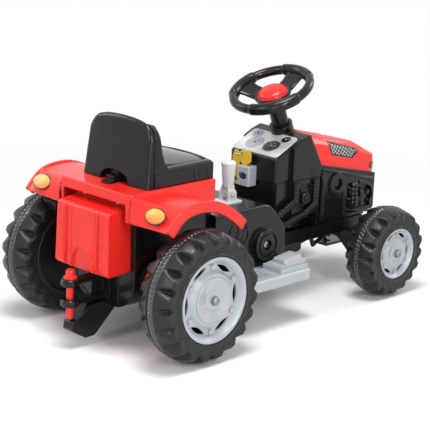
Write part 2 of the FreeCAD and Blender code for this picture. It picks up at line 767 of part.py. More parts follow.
def mid_chassis():
    back, drop = HUMP_NOSE
    outline = [(SPLIT_Y, HUMP_FLOOR), (SPLIT_Y, HUMP_TOP), (HUMP_FRONT - back, HUMP_TOP),
               (HUMP_FRONT, HUMP_TOP - drop), (HUMP_FRONT, HUMP_FLOOR)]
    curves = [0, 0] + list(HUMP_CURVES)
    shell = side(outline, curves, -HUMP_HALF, HUMP_HALF)
    low = HUMP_FLOOR + HUMP_CURVES[2]
    rear = SPLIT_Y + HUMP_EDGE
    on_side = lambda c, e: abs(abs(c.x) - HUMP_HALF) < 0.01 and c.y > rear and c.z > low
    shell = softened(shell, HUMP_EDGE, on_side)
    hollow = inset(outline, curves, WALL, HUMP_HALF - HUMP_EDGE)
    window = block(-HUMP_WINDOW, HUMP_WINDOW, SPLIT_Y - PAST, SPLIT_Y + WALL + PAST, FLOOR_Z + HUMP_STEP,
                   HUMP_TOP - HUMP_STEP)
    edge = HUMP_HALF + BOSS_HEIGHT
    boss = rod_x(HUMP_HALF - PAST, edge, BOSS_Y, BOSS_Z, BOSS_R)
    boss = softened(boss, BOSS_RING_DEPTH, lambda c, e: c.x > edge - 0.01 and e.Closed)
    well = rod_x(edge - BOSS_WELL, edge + PAST, BOSS_Y, BOSS_Z, BOSS_WELL_R)
    groove = ring_x(edge - BOSS_RING_DEPTH, edge + PAST, BOSS_Y, BOSS_Z, *BOSS_RING)
    line = ring_x(HUMP_HALF - 2 * PAST, HUMP_HALF + PAST, DISC_Y, DISC_Z, DISC_R - DISC_LINE, DISC_R)
    body = shell.cut([hollow, window]).fuse(both([boss.cut([well, groove])]))
    return body.cut(both([line])).removeSplitter()


def boss_screws():
    x = HUMP_HALF + BOSS_HEIGHT - BOSS_WELL
    head = rod_x(x, x + SCREW_HEAD, BOSS_Y, BOSS_Z, SCREW_R)
    return pair(softened(head, REAR_RECESS, lambda c, e: c.x > x + SCREW_HEAD - 0.01 and e.Closed))


# Fender unit

def band(x, upper, depth):
    top = [Vector(x, y, z) for y, z in upper]
    low = []
    for i, p in enumerate(top):
        ahead = top[min(i + 1, len(top) - 1)] - top[max(i - 1, 0)]
        low.append(p + Vector(0, ahead.z, -ahead.y).normalize() * depth)
    over = Part.BSplineCurve()
    over.interpolate(top)
    under = Part.BSplineCurve()
    under.interpolate(low[::-1])
    return Part.Wire([over.toShape(), Part.makeLine(top[-1], low[-1]), under.toShape(),
                      Part.makeLine(low[0], top[0])])


def fender_profiles():
    rear = PLINTH_REAR
    top = FENDER_TOP
    inner = [(rear, top - 47), (rear, top - 19), (rear + 8, top - 2), (rear + 30, top + 2), (25, top),
             (76, top - 17), (118, top - 51)]
    outer = [(rear, top - 43), (rear + 18, top - 23), (rear + 39, top - 8), (-16, top), (25, top - 1),
             (72, top - 19), (119, top - 54)]
    return inner, outer


def mudguard():
    inner, outer = fender_profiles()
    shell = Part.makeLoft([band(PLINTH_HALF - PAST, inner, SKIN), band(FENDER_OUT - PAST, outer, SKIN)],
                          True, True)
    raised = [(y, z + LIP_RISE) for y, z in outer]
    lip = Part.Face(band(FENDER_OUT - LIP, raised, LIP_DEPTH)).extrude(Vector(LIP, 0, 0))
    trim = block(FENDER_OUT - 2 * LIP, FENDER_OUT + PAST, PLINTH_REAR - LIP_DEPTH, PLINTH_REAR, CHASSIS_Z,
                 PLINTH_TOP)
    return shell.fuse(lip.cut(trim))


def hinge_lug(x, top):
    lug = rod_x(x, x + HINGE_WIDTH, HINGE_Y, HINGE_Z, HINGE_LUG_R)
    return lug.fuse(block(x, x + HINGE_WIDTH, HINGE_Y - HINGE_LUG_R, HINGE_Y + HINGE_LUG_R, HINGE_Z, top))


def fender_unit():
    half = PLINTH_HALF
    plinth = plan(corners(-half, half, PLINTH_REAR, SPLIT_Y), [12, 12, 8, 8], CHASSIS_TOP, PLINTH_TOP)
    plinth = softened(plinth, LIP_RISE, lambda c, e: abs(c.z - PLINTH_TOP) < 0.01)
    hollow = block(SKIN - half, half - SKIN, PLINTH_REAR + SKIN, SPLIT_Y - SKIN, CHASSIS_TOP + SKIN,
                   PLINTH_TOP - SKIN)
    floor = block(-INNER_HALF, INNER_HALF, PLINTH_REAR - PAST, SPLIT_Y - SKIN, CHASSIS_TOP - PAST,
                  CHASSIS_TOP + SKIN + PAST)
    hatch = plan(corners(-HATCH_HALF, HATCH_HALF, HATCH_REAR, HATCH_FRONT), 10, PLINTH_TOP - 2 * SKIN,
                 PLINTH_TOP + PAST)
    window = block(COLUMN - half, half - COLUMN, PLINTH_REAR - PAST, PLINTH_REAR + SKIN + PAST,
                   CHASSIS_TOP - PAST, PLINTH_TOP - CROSS_BAR)
    body = plinth.cut([hollow, floor, hatch, window])
    low = HINGE_Z - HINGE_LUG_R
    lugs = []
    for x in (-HINGE_X - HINGE_WIDTH, HINGE_X):
        arm = block(x, x + HINGE_WIDTH, SPLIT_Y - PAST, HINGE_Y, low, HINGE_Z)
        lugs.append(arm.fuse(rod_x(x, x + HINGE_WIDTH, HINGE_Y, HINGE_Z, HINGE_LUG_R)))
    body = body.fuse(lugs + both([mudguard()]))
    return body.cut(rod_x(-half, half, HINGE_Y, HINGE_Z, HINGE_PIN_R + RUN_FIT / 2))


def tail_lights(fender):
    inner, outer = fender_profiles()
    blend = (TAIL_X - PLINTH_HALF) / (FENDER_OUT - PLINTH_HALF)
    low, middle, high = [Vector(TAIL_X, a[0] + (b[0] - a[0]) * blend, a[1] + (b[1] - a[1]) * blend) for a,
                         b in zip(inner[:3], outer[:3])]
    up = (high - low).normalize()
    out = up.cross(Vector(1, 0, 0))
    glass = oval(TAIL_HALF_WIDTH, TAIL_HALF_HEIGHT, TAIL_RISE + SKIN)
    glass = softened(glass, TAIL_RISE / 2, lambda c, e: c.z > TAIL_RISE and e.Closed)
    glass.Placement = Placement(middle + out * SKIN, Rotation(Vector(1, 0, 0), up, out * -1, "ZXY"))
    return pair(max(glass.cut(fender).Solids, key=lambda s: s.Volume))


# Seat

def seat_wire(y, shrink):
    half = SEAT_HALF - shrink
    top_half = SEAT_HALF - SEAT_TAPER - shrink
    top = SEAT_TOP - shrink
    low = SEAT_BASE - SEAT_EDGE
    points = [Vector(-half, y, low), Vector(half, y, low), Vector(top_half, y, top),
              Vector(-top_half, y, top)]
    curve = SEAT_CORNER_R - shrink
    return rounded(points, [0, 0, curve, curve])


def seat_rear_cover():
    y0 = SEAT_REAR
    depth = SEAT_SPLIT - SEAT_GROOVE
    edge = SEAT_EDGE
    steps = [(0, edge), (edge / 4, edge / 2.2), (edge, 0), (edge + SEAT_SPLIT + SEAT_LEAN, 0)]
    form = Part.makeLoft([seat_wire(y0 + run, shrink) for run, shrink in steps], True, True)
    tilt = math.degrees(math.atan(SEAT_LEAN / SEAT_HEIGHT))
    form.rotate(Vector(0, y0, SEAT_BASE), Vector(1, 0, 0), -tilt)
    profile = [(y0 - edge, SEAT_BASE), (y0 + depth, SEAT_BASE),
               (y0 + SEAT_LEAN + COVER_TOP, SEAT_TOP + edge), (y0 - edge, SEAT_TOP + edge)]
    slab = side(profile, 0, -SEAT_HALF - PAST, SEAT_HALF + PAST)
    low = SEAT_TOP - SEAT_CROWN_R
    crown = rod(Vector(0, y0 - edge, low), Vector(0, y0 + 2 * SEAT_SPLIT, low), SEAT_CROWN_R)
    half, height, reach = SEAT_NOTCH
    curve = half - 2 * PAST
    notch = front(corners(-half, half, SEAT_BASE - PAST, SEAT_BASE + height), [0, 0, curve, curve],
                  y0 - edge, y0 + reach)
    return form.common(slab).common(crown).cut(notch)


def seat_foot(y0):
    edge = Vector(-SEAT_HALF, PAN_FRONT, SEAT_BASE)
    tip = Vector(0, PAN_FRONT + PAN_BULGE, SEAT_BASE)
    far = Vector(SEAT_HALF, PAN_FRONT, SEAT_BASE)
    rear = [Vector(SEAT_HALF, y0, SEAT_BASE), Vector(-SEAT_HALF, y0, SEAT_BASE)]
    return Part.Wire([Part.Arc(edge, tip, far).toShape(), Part.makeLine(far, rear[0]),
                      Part.makeLine(rear[0], rear[1]), Part.makeLine(rear[1], edge)])


def seat_shell():
    y0 = SEAT_REAR + SEAT_SPLIT
    lean = SEAT_LEAN + COVER_TOP - SEAT_SPLIT + SEAT_GROOVE
    top = SEAT_TOP - 2 * SEAT_GROOVE
    lap = y0 + 4 * BACK_THICK
    face = y0 + BACK_THICK + lean
    profile = [(y0, SEAT_BASE), (lap, SEAT_BASE), (lap, PAN_TOP - 4), (face + BACK_THICK, PAN_TOP - 2),
               (face + 4, SEAT_TOP - 60), (face - 4, top - 2), (y0 + lean, top)]
    back = side(profile, [0, 0, 0, 26, 40, 4, 3], -SEAT_HALF, SEAT_HALF)
    outline = Part.Face(seat_wire(y0 - BACK_THICK, PAST)).extrude(Vector(0, lap - y0 + 2 * BACK_THICK, 0))
    back = back.common(outline)
    scoop = [(y0 + BACK_THICK + 6, PAN_TOP + 2), (lap + 20, PAN_TOP - PAN_EDGE), (lap + 20, SEAT_TOP + 20),
             (y0 + BACK_THICK + 3, SEAT_TOP - WING)]
    hollow = side(scoop, [RIM_BAND, 0, 0, PAN_EDGE], WING - SEAT_HALF, SEAT_HALF - WING)
    foot = seat_foot(y0)
    pan = Part.Face(foot).extrude(Vector(0, 0, PAN_HEIGHT))
    pan = softened(pan, PAN_EDGE, lambda c, e: abs(c.z - PAN_TOP) < 0.01 and c.y > y0 + PAST)
    dish = Part.Face(foot.makeOffset2D(-RIM_BAND)).extrude(Vector(0, 0, DISH + PAST))
    dish.translate(Vector(0, WALL, PAN_HEIGHT - DISH))
    belly = Part.Face(foot.makeOffset2D(-SEAT_GROOVE - WALL)).extrude(Vector(0, 0,
                                                                             PAN_HEIGHT - DISH - WALL))
    belly.translate(Vector(0, 0, -PAST))
    body = pan.cut([dish, belly]).fuse(back.cut([hollow, belly]))
    outer = HINGE_X + HINGE_WIDTH + PAST
    lugs = [hinge_lug(x, SEAT_BASE + PAST) for x in (-outer - HINGE_WIDTH, outer)]
    strip = block(-outer - HINGE_WIDTH, outer + HINGE_WIDTH, HINGE_Y - HINGE_LUG_R - WALL,
                  HINGE_Y + HINGE_LUG_R, SEAT_BASE, SEAT_BASE + WALL)
    strip = strip.common(Part.Face(foot).extrude(Vector(0, 0, PAN_HEIGHT)))
    bore = rod_x(-SEAT_HALF, SEAT_HALF, HINGE_Y, HINGE_Z, HINGE_PIN_R + RUN_FIT)
    return body.fuse(lugs + [strip]).cut(bore).removeSplitter()


def seat_hinge_pin():
    end = HINGE_X + 2 * HINGE_WIDTH + 2 * PAST
    return rod_x(-end, end, HINGE_Y, HINGE_Z, HINGE_PIN_R)


def seat_latch():
    half = LATCH_HALF + 2 * PAST
    base = plan(corners(-half, half, SEAT_REAR - LATCH_LENGTH, SEAT_REAR - PAST), [5, 5, 0, 0], PLINTH_TOP,
                PLINTH_TOP + LATCH_THICK)
    tongue = block(-LATCH_HALF, LATCH_HALF, SEAT_REAR - PAN_EDGE, SEAT_REAR + LATCH_HALF,
                   PLINTH_TOP + SEAT_GAP, PLINTH_TOP + LATCH_TONGUE)
    return base.fuse(tongue)


# Rear box and hitch

def rear_box():
    y0 = CHASSIS_REAR_Y
    back = y0 - BOX_DEPTH
    top = BOX_TOP + FLANGE_RISE
    wall = BOX_WALL
    outline = [(y0, BOX_FLOOR + wall), (back, BOX_FLOOR), (back + BOX_FLARE, BOX_TOP),
               (y0 - 2 * wall, BOX_TOP + wall), (y0 - WALL, top), (y0, top)]
    wide = BOX_HALF + BOX_FLARE
    narrow = BOX_HALF - BOX_FLARE
    body = side(outline, [0, 10, 8, 3, 1, 0], -wide, wide)
    body = body.common(front([(-wide, BOX_FLOOR), (wide, BOX_FLOOR), (narrow, top), (-narrow, top)],
                             [12, 12, 6, 6], back - PAST, y0 + PAST))
    hollow = side([(y0 + PAST, BOX_FLOOR + 2 * wall), (back + wall, BOX_FLOOR + wall),
                   (back + wall, BOX_TOP - wall), (y0 + PAST, BOX_TOP - wall)], [0, wall, wall, 0],
                  wall - narrow, narrow - wall)
    relief = back + BOX_RELIEF
    cuts = [hollow]
    for s in (-1, 1):
        x = s * BOX_FLUTE_X
        cuts.append(front([(x - BOX_FLUTE, BOX_FLOOR - PAST), (x + BOX_FLUTE, BOX_FLOOR - PAST),
                           (x + BOX_FLUTE / 2, top), (x - BOX_FLUTE / 2, top)], 0, back - PAST, relief))
        cuts.append(box_screw_line(s * BOX_SCREW_X, BOX_SCREW_R + RUN_FIT, FLANGE_RISE))
    half, height = BOX_ARCH
    curve = half - 2 * PAST
    cuts.append(front(corners(-half, half, BOX_FLOOR - PAST, BOX_FLOOR + height), [0, 0, curve, curve],
                      back - PAST, relief))
    return body.cut(cuts).removeSplitter()


def box_screw_line(x, radius, length):
    start = Vector(x, CHASSIS_REAR_Y - 1.5 * BOX_WALL, BOX_TOP + 2 * BOX_WALL)
    return rod(start, start + Vector(0, 1, -1) * length, radius)


def rear_box_screws():
    shank = box_screw_line(BOX_SCREW_X, BOX_SCREW_R, BOX_WALL)
    start = Vector(BOX_SCREW_X, CHASSIS_REAR_Y - 1.5 * BOX_WALL, BOX_TOP + 2 * BOX_WALL)
    head = rod(start, start + Vector(0, -1, 1) * BOX_SCREW_R, 2.5 * BOX_SCREW_R)
    return pair(head.fuse(shank))


def hitch_bracket():
    arms = []
    for z in (LOWER_RING_Z, UPPER_RING_Z):
        low = z - RING_HEIGHT / 2
        ring = rod_z(0, HITCH_Y, low, low + RING_HEIGHT, RING_R)
        ring = ring.makeChamfer(RING_EDGE, [e for e in ring.Edges if e.Closed])
        arm = plan([(-ARM_HALF, HITCH_Y), (ARM_HALF, HITCH_Y), (ARM_ROOT, CHASSIS_REAR_Y),
                    (-ARM_ROOT, CHASSIS_REAR_Y)], 0, low + RING_EDGE, low + RING_HEIGHT - RING_EDGE)
        arms.append(ring.fuse(arm))
    web = block(-HITCH_WEB / 2, HITCH_WEB / 2, CHASSIS_REAR_Y - HITCH_WEB_REACH, CHASSIS_REAR_Y,
                LOWER_RING_Z, UPPER_RING_Z)
    plate = front(corners(-HITCH_PLATE, HITCH_PLATE, LOWER_RING_Z - RING_HEIGHT / 2,
                          UPPER_RING_Z + RING_HEIGHT / 2), 6, CHASSIS_REAR_Y - HITCH_PLATE_THICK,
                  CHASSIS_REAR_Y + REAR_RECESS)
    bore = rod_z(0, HITCH_Y, LOWER_RING_Z - RING_HEIGHT, UPPER_RING_Z + RING_HEIGHT, PIN_R + SEAT_GAP)
    return arms[0].fuse([arms[1], web, plate]).cut(bore).removeSplitter()


def tow_hook():
    rear = HITCH_Y
    low = CHASSIS_Z - HOOK_DROP
    outline = [(CHASSIS_REAR_Y + 2 * HOOK_HALF, CHASSIS_Z), (CHASSIS_REAR_Y, CHASSIS_Z),
               (CHASSIS_REAR_Y, CHASSIS_Z + 11), (rear + 47, CHASSIS_Z + 8), (rear - 1, CHASSIS_Z - 21),
               (rear - 5, low + 20), (rear + 29, low), (rear + 53, low + 1)]
    return side(outline, [0, 0, 0, 10, 5, 8, 10, 10], -HOOK_HALF, HOOK_HALF)


def hitch_pin():
    shelf = UPPER_RING_Z + RING_HEIGHT / 2
    foot = LOWER_RING_Z - PIN_REACH
    top = shelf + PIN_HEAD
    neck = PIN_R + 2 * PAST
    points = [(foot, 0), (foot, PIN_R - 2), (foot + WALL, PIN_R), (shelf, PIN_R), (shelf, PIN_COLLAR_R),
              (shelf + WALL, PIN_COLLAR_R), (shelf + WALL + 2, neck), (top - WALL, neck), (top, PIN_R),
              (top, 0)]
    pin = turned(points, 0)
    pin.rotate(Vector(), Vector(0, 1, 0), -90)
    pin.translate(Vector(0, HITCH_Y, 0))
    return pin


# Engine, cowl and bonnet

BONNET_TOP = (COWL_REAR + BONNET_TOP_BACK[0], DASH_LOW_Z + BONNET_TOP_BACK[1])
BONNET_LOW = (COWL_REAR + BONNET_LOW_BACK[0], SEAM_Z + BONNET_LOW_BACK[1])
BONNET_FALL = math.tan(math.radians(BONNET_SLOPE))
NOSE_CORNER_Y = NOSE_Y - NOSE_CORNER
NOSE_LOW_Z = BONNET_LOW[1] - (NOSE_CORNER_Y - BONNET_LOW[0]) * BONNET_FALL


def bonnet_line(y):
    return BONNET_TOP[1] - (y - BONNET_TOP[0]) * BONNET_FALL


def cowl_outline():
    return [(COWL_REAR, SEAM_Z), (COWL_REAR, DASH_LOW_Z),
            (COWL_REAR + DASH_RUN[0], DASH_LOW_Z + DASH_RUN[1]), BONNET_TOP, BONNET_LOW,
            (BONNET_LOW[0], SEAM_Z)]


def stepped(outline, radius):
    narrow = side(outline, radius, -COWL_HALF, COWL_HALF)
    wide = side(outline, radius, -ENGINE_HALF, ENGINE_HALF)
    wide = wide.common(block(-ENGINE_HALF, ENGINE_HALF, COWL_REAR + COWL_STEP, NOSE_Y, 0, STEER_Z))
    return narrow.fuse(wide).removeSplitter()


def column_collar(gap):
    end = -HUB_DEPTH - COLUMN_LENGTH
    return steered(rod_z(0, 0, end - COLLAR[0] - gap, end + COLLAR[1] + gap, COLUMN_R + COLLAR_WALL + gap))


def dash_housing():
    outline = cowl_outline()
    wall = COWL_WALL
    shell = stepped(outline, [0, 5, 0, 0, 0, 0])
    shell = softened(shell, wall, lambda c,
                     e: abs(c.y - COWL_REAR) < 0.01 and e.Length > DASH_RISE / 2 and abs(c.x) > wall)
    inner = COWL_HALF - wall
    hollow = inset(outline, 0, wall, inner)
    mouth = block(-inner, inner, COWL_REAR + wall, BONNET_LOW[0] - wall, SEAM_Z - PAST, SEAM_Z + 2 * wall)
    collar = column_collar(0)
    seam = COWL_REAR + COWL_STEP
    groove = block(COWL_HALF - LIP_RISE, COWL_HALF + LIP_RISE, seam - WALL, seam, SEAM_Z - PAST,
                   BONNET_TOP[1])
    body = shell.cut([hollow, mouth]).fuse(collar)
    return body.cut(both([groove]) + [steer_bore(COLUMN_R + SEAT_GAP)]).removeSplitter()


def dashboard_plate():
    slant = Vector(0, DASH_RUN[0], DASH_RUN[1])
    run = Vector(slant).normalize()
    up = Vector(0, -run.z, run.y)
    across = Vector(COWL_HALF - DASH_MARGIN, 0, 0)
    low = Vector(0, COWL_REAR, DASH_LOW_Z) + run * DASH_MARGIN
    high = low + run * (slant.Length - 2 * DASH_MARGIN)
    outline = rounded([low - across, low + across, high + across, high - across], DASH_CORNER_R)
    return Part.Face(outline).extrude(up * DASH_THICK).cut(column_collar(SEAT_GAP))


def hose_paths():
    x = ENGINE_HALF + HOSE_OUT
    rear = COWL_REAR
    first = [(54, 1), (54, 42), (22, 58), (1, 68)]
    second = [(116, 1), (116, 58), (86, 74), (1, 92)]
    return [[Vector(x, rear + run, SEAM_Z - drop) for run, drop in path] for path in (first, second)]


def hose(points, radius):
    pieces = [rod(a, b, radius) for a, b in zip(points, points[1:])]
    pieces += [Part.makeSphere(radius, joint) for joint in points[1:-1]]
    return pieces[0].fuse(pieces[1:])


def ribbed_hose(points):
    ribs = []
    for a, b in zip(points, points[1:]):
        run = b - a
        count = int(run.Length / HOSE_PITCH)
        step = run / count
        for i in range(count):
            spot = a + step * (i + 0.25)
            ribs.append(Part.makeCylinder(HOSE_R + HOSE_RIB, step.Length / 2, spot, run))
    return hose(points, HOSE_R).fuse(ribs).removeSplitter()


def engine_hoses():
    return Part.makeCompound(both([ribbed_hose(path) for path in hose_paths()]))


def engine_reliefs():
    out = ENGINE_HALF
    rear = COWL_REAR
    fore = ENGINE_FRONT
    seam = SEAM_Z
    slit = block(out - 8, out + PAST, rear + 133, rear + 141, ENGINE_FLOOR + 6, seam + 12)
    panel = side(corners(rear + 68, rear + 106, seam - 64, seam - 10), 3, out - 4, out + PAST)
    panel = panel.cut(side(corners(rear + 76, rear + 98, seam - 56, seam - 20), 3, out - 5, out - 1))
    ring = ring_x(out - 5, out + PAST, fore - 129, seam - 17, 14, 19)
    low = ENGINE_FLOOR + 9
    bay = side([(fore - 92, low), (fore - 92, seam - 28), (fore - 58, seam - 34), (fore - 10, seam - 46),
                (fore - 10, low)], 5, out - 6, out + PAST)
    pads = [rod_x(out - 7, out - 1, fore - 70, low + 38, 12),
            rod_x(out - 7, out - 2, fore - 34, low + 28, 9),
            side(corners(fore - 82, fore - 48, low + 4, low + 18), 2, out - 7, out - 1)]
    return [slit, panel, ring, bay.cut(pads)]


def engine_block():
    rear = COWL_REAR + COWL_WALL
    low_y, low_z = BONNET_LOW
    top_front = low_z - (ENGINE_FRONT - low_y) * BONNET_FALL
    floor = ENGINE_FLOOR
    outline = [(rear, SEAM_Z - 58), (rear, SEAM_Z), (low_y, SEAM_Z), BONNET_LOW, (ENGINE_FRONT, top_front),
               (ENGINE_FRONT, floor), (low_y + 7, floor), (low_y - 11, floor + 21),
               (rear + 48, SEAM_Z - 74)]
    radii = [8, 0, 0, 0, 0, 8, 6, 10, 10]
    shell = stepped(outline, radii)
    inner = COWL_HALF - ENGINE_WALL
    hollow = inset(outline, radii, ENGINE_WALL, inner)
    mouth = block(-inner, inner, rear + ENGINE_WALL, low_y - PAST, SEAM_Z - 2 * ENGINE_WALL, SEAM_Z + PAST)
    start = low_y + ENGINE_WALL
    end = ENGINE_FRONT - ENGINE_WALL
    lid = side([(start, low_z + ENGINE_WALL), (start, low_z - 2 * ENGINE_WALL),
                (end, top_front - 2 * ENGINE_WALL), (end, top_front + ENGINE_WALL)], 0, -inner, inner)
    sump = block(-inner, inner, low_y + ENGINE_WALL, end, FRAME_TOP, floor + PAST)
    channels = [hose(path, HOSE_R + HOSE_RIB + SEAT_GAP) for path in hose_paths()]
    cuts = [hollow, mouth, lid, steer_bore(STEER_ROD_R + HOSE_OUT), frame_boss(SEAT_GAP)]
    cuts += both(engine_reliefs() + channels)
    return shell.fuse(sump).cut(cuts).removeSplitter()


def front_grille():
    wide = ENGINE_HALF - WALL
    low = ENGINE_FLOOR + BOX_WALL
    top = NOSE_LOW_Z - 2 * BOX_WALL
    rear = ENGINE_FRONT
    body = side([(rear, low), (rear, top), (rear + GRILLE_DEPTH, top - WALL),
                 (rear + GRILLE_DEPTH - WALL, low + WALL)], [0, 0, WALL, WALL], -wide, wide)
    edge = Vector(wide, rear + 2, low)
    other = Vector(-wide, rear + 2, low)
    corner = Vector(wide, rear, low)
    far = Vector(-wide, rear, low)
    bow = Part.Wire([Part.Arc(other, Vector(0, rear + GRILLE_DEPTH + WALL, low), edge).toShape(),
                     Part.makeLine(edge, corner), Part.makeLine(corner, far), Part.makeLine(far, other)])
    body = body.common(Part.Face(bow).extrude(Vector(0, 0, top - low)))
    pitch = (top - low) / (GRILLE_BARS + 1)
    slots = []
    for i in range(GRILLE_BARS):
        z = low + pitch * (i + 1)
        slots.append(block(-wide, wide, rear + GRILLE_DEPTH / 2, rear + 2 * GRILLE_DEPTH, z - pitch / 5,
                           z + pitch / 5))
    return body.cut(slots)


def bonnet_form(shrink):
    roll_back, roll_drop = NOSE_ROLL
    roll_y = NOSE_Y - roll_back
    roll_z = bonnet_line(roll_y) - shrink
    under = shrink * 2
    outline = [(BONNET_TOP[0], BONNET_TOP[1] - shrink), (roll_y, roll_z),
               (NOSE_Y - WALL - shrink, roll_z - roll_drop),
               (NOSE_Y - NOSE_CORNER / 2 - shrink, NOSE_LOW_Z - WALL - under),
               (NOSE_CORNER_Y, NOSE_LOW_Z - under), (BONNET_LOW[0], BONNET_LOW[1] - under)]
    form = side(outline, [0] + list(NOSE_CURVES) + [0, 0], -2 * ENGINE_HALF, 2 * ENGINE_HALF)
    half = ENGINE_HALF - shrink
    start = COWL_REAR
    fore = NOSE_CORNER_Y - NOSE_CORNER / 2 - shrink
    wide = [Vector(half, fore, 0), Vector(half, start, 0), Vector(-half, start, 0), Vector(-half, fore, 0)]
    lines = [Part.makeLine(a, b) for a, b in zip(wide, wide[1:])]
    bow = Part.Arc(wide[3], Vector(0, NOSE_Y - shrink, 0), wide[0]).toShape()
    form = form.common(Part.Face(Part.Wire(lines + [bow])).extrude(Vector(0, 0, STEER_Z)))
    top = bonnet_line(start) - shrink
    knee = half - 2 * WALL - PAST
    crest = BONNET_TOP_HALF - shrink
    right = [(half, top - 2 * BONNET_DEPTH), (half - PAST, top - BONNET_DEPTH + 10),
             (knee, top - BONNET_SHOULDER), (crest, top)]
    section = right + [(-x, z) for x, z in reversed(right)]
    wire = rounded([Vector(x, start, z) for x, z in section], [0, 40, 14, 20, 20, 14, 40, 0])
    length = NOSE_Y - start
    return form.common(Part.Face(wire).extrude(Vector(0, length, -length * BONNET_FALL)))


def side_window(grow):
    length = NOSE_CORNER_Y - BONNET_TOP[0]
    spots = [(BONNET_TOP[0] + share * length, drop) for share, drop in WINDOW]
    wire = rounded([Vector(CREST_HALF, y, bonnet_line(y) - drop) for y, drop in spots], WINDOW_CURVE)
    if grow:
        wire = wire.makeOffset2D(grow)
    return Part.Face(wire).extrude(Vector(2 * ENGINE_HALF, 0, 0))


def lamp_hole(grow):
    hole = oval(LAMP_HALF[0] + grow, LAMP_HALF[1] + grow, ENGINE_HALF)
    spot = Vector(LAMP_X, NOSE_Y - LAMP_BACK, NOSE_LOW_Z + LAMP_RISE)
    hole.Placement = Placement(spot, Rotation(Vector(-1, 1, 0), Vector(0, 0, 1), Vector(1, 1, 0), "ZXY"))
    return hole


def bonnet():
    shell = bonnet_form(0).cut(bonnet_form(BONNET_WALL))
    spots = [(BONNET_TOP[0] + 2 * CREST_RISE, -PAST), (BONNET_TOP[0] + 3 * CREST_RISE, CREST_RISE),
             (NOSE_Y - CREST_END, CREST_RISE), (NOSE_Y - CREST_END + 2 * CREST_RISE, -PAST)]
    panel = side([(y, bonnet_line(y) + rise) for y, rise in spots], [0, 2, 4, 0], -CREST_HALF, CREST_HALF)
    cuts = both([side_window(0), lamp_hole(0)]) + [column_collar(SEAT_GAP)]
    return shell.fuse(panel).cut(cuts).removeSplitter()


def bonnet_layer(outer, opening):
    layer = bonnet_form(outer).cut(bonnet_form(BONNET_WALL))
    return pair(max(layer.common(opening).Solids, key=lambda s: s.Volume))


def bonnet_grilles():
    return bonnet_layer(GRILLE_SINK, side_window(-SEAT_GAP))


def headlights():
    return bonnet_layer(-GRILLE_SINK, lamp_hole(-SEAT_GAP))


# Front frame and steering

def frame_boss(gap):
    fall = down_column(FRAME_TOP)
    return steered(rod_z(0, 0, -fall - FRAME_BOSS - gap, -fall + 2 * PAST + gap, FRAME_BOSS_R + gap))


def front_frame():
    plate = block(-FRAME_HALF, FRAME_HALF, HUMP_FRONT, FRAME_FRONT, FRAME_TOP - FRAME_PLATE, FRAME_TOP)
    rail = block(FRAME_HALF - RAIL_WIDTH, FRAME_HALF, HUMP_FRONT, FRAME_FRONT, BEAM_TOP, FRAME_TOP)
    half, length, pitch = FRAME_HOLE
    holes = []
    for y in (HUMP_FRONT + BEAM_SEAT, HUMP_FRONT + BEAM_SEAT + pitch):
        holes.append(plan(corners(-half, half, y, y + length), FRAME_PLATE, 0, FRAME_TOP + PAST))
    body = plate.fuse(both([rail])).cut(holes).fuse(frame_boss(0))
    seat = block(-WEB_X, WEB_X, WHEELBASE - BEAM_SEAT, WHEELBASE + BEAM_SEAT, 0, BEAM_TOP)
    return body.cut([steer_bore(STEER_ROD_R + RUN_FIT), seat]).removeSplitter()


def front_axle_beam():
    y0 = WHEELBASE - BEAM_HALF_WIDTH
    y1 = WHEELBASE + BEAM_HALF_WIDTH
    end = KING_X + BEAM_END
    foot = WEB_X - 2 * WEB
    right = [(end, BEAM_TOP), (end, BEAM_FLOOR), (foot, BEAM_FLOOR), (foot / 2, BEAM_TOP - BEAM_DEPTH)]
    outline = right + [(-x, z) for x, z in reversed(right)]
    bar = front(outline, [3, 3, 6, 10, 10, 6, 3, 3], y0, y1)
    mouth = block(WEB_X + WEB, end + PAST, y0 - PAST, y1 + PAST, BEAM_FLOOR + LUG_THICK,
                  BEAM_TOP - LUG_THICK)
    pin = rod_z(KING_X, WHEELBASE, BEAM_FLOOR - PAST, BEAM_TOP + PAST, KING_R + RUN_FIT / 2)
    return bar.cut(both([mouth, pin]))


def king_pins():
    pin = rod_z(KING_X, WHEELBASE, BEAM_FLOOR - KING_R, BEAM_TOP, KING_R)
    head = rod_z(KING_X, WHEELBASE, BEAM_FLOOR - KING_R, BEAM_FLOOR, KING_HEAD_R)
    return pair(pin.fuse(head))


def knuckle():
    low = ARM_FLOOR
    sleeve = rod_z(KING_X, WHEELBASE, low, FRONT_TYRE_R + SLEEVE_HALF, SLEEVE_R)
    collar = rod_x(KING_X, KING_X + 1.5 * SLEEVE_R, WHEELBASE, FRONT_TYRE_R, SLEEVE_R - REAR_RECESS)
    stub = rod_x(KING_X + KING_R + PAST, FRONT_HUB_X + NUT_DEPTH, WHEELBASE, FRONT_TYRE_R, STUB_R)
    arm = block(KING_X - ARM_WIDTH, KING_X + ARM_WIDTH, WHEELBASE, TIE_Y, low, low + ARM_THICK)
    end = rod_z(KING_X, TIE_Y, low, low + ARM_THICK, ARM_WIDTH)
    pin = rod_z(KING_X, TIE_Y, TIE_LOW - TIE_PIN_R, low + PAST, TIE_PIN_R)
    bore = rod_z(KING_X, WHEELBASE, 0, 2 * FRONT_TYRE_R, KING_R + RUN_FIT)
    return sleeve.fuse([collar, stub, arm, end, pin]).cut(bore).removeSplitter()


def crank_points():
    tilt = math.radians(STEER_TILT)
    axis = Vector(0, -math.sin(tilt), math.cos(tilt))
    across = Vector(0, math.cos(tilt), math.sin(tilt))
    low = Vector(0, STEER_Y, STEER_Z) - axis * down_column(CRANK_FOOT_Z)
    knee = low + across * ARM_LENGTH
    return low, knee, knee - axis * CRANK_PIN


def crank_foot():
    low, knee, tip = crank_points()
    share = (knee.z - (TIE_TOP + TIE_LOW) / 2) / (knee.z - tip.z)
    return knee + (tip - knee) * share


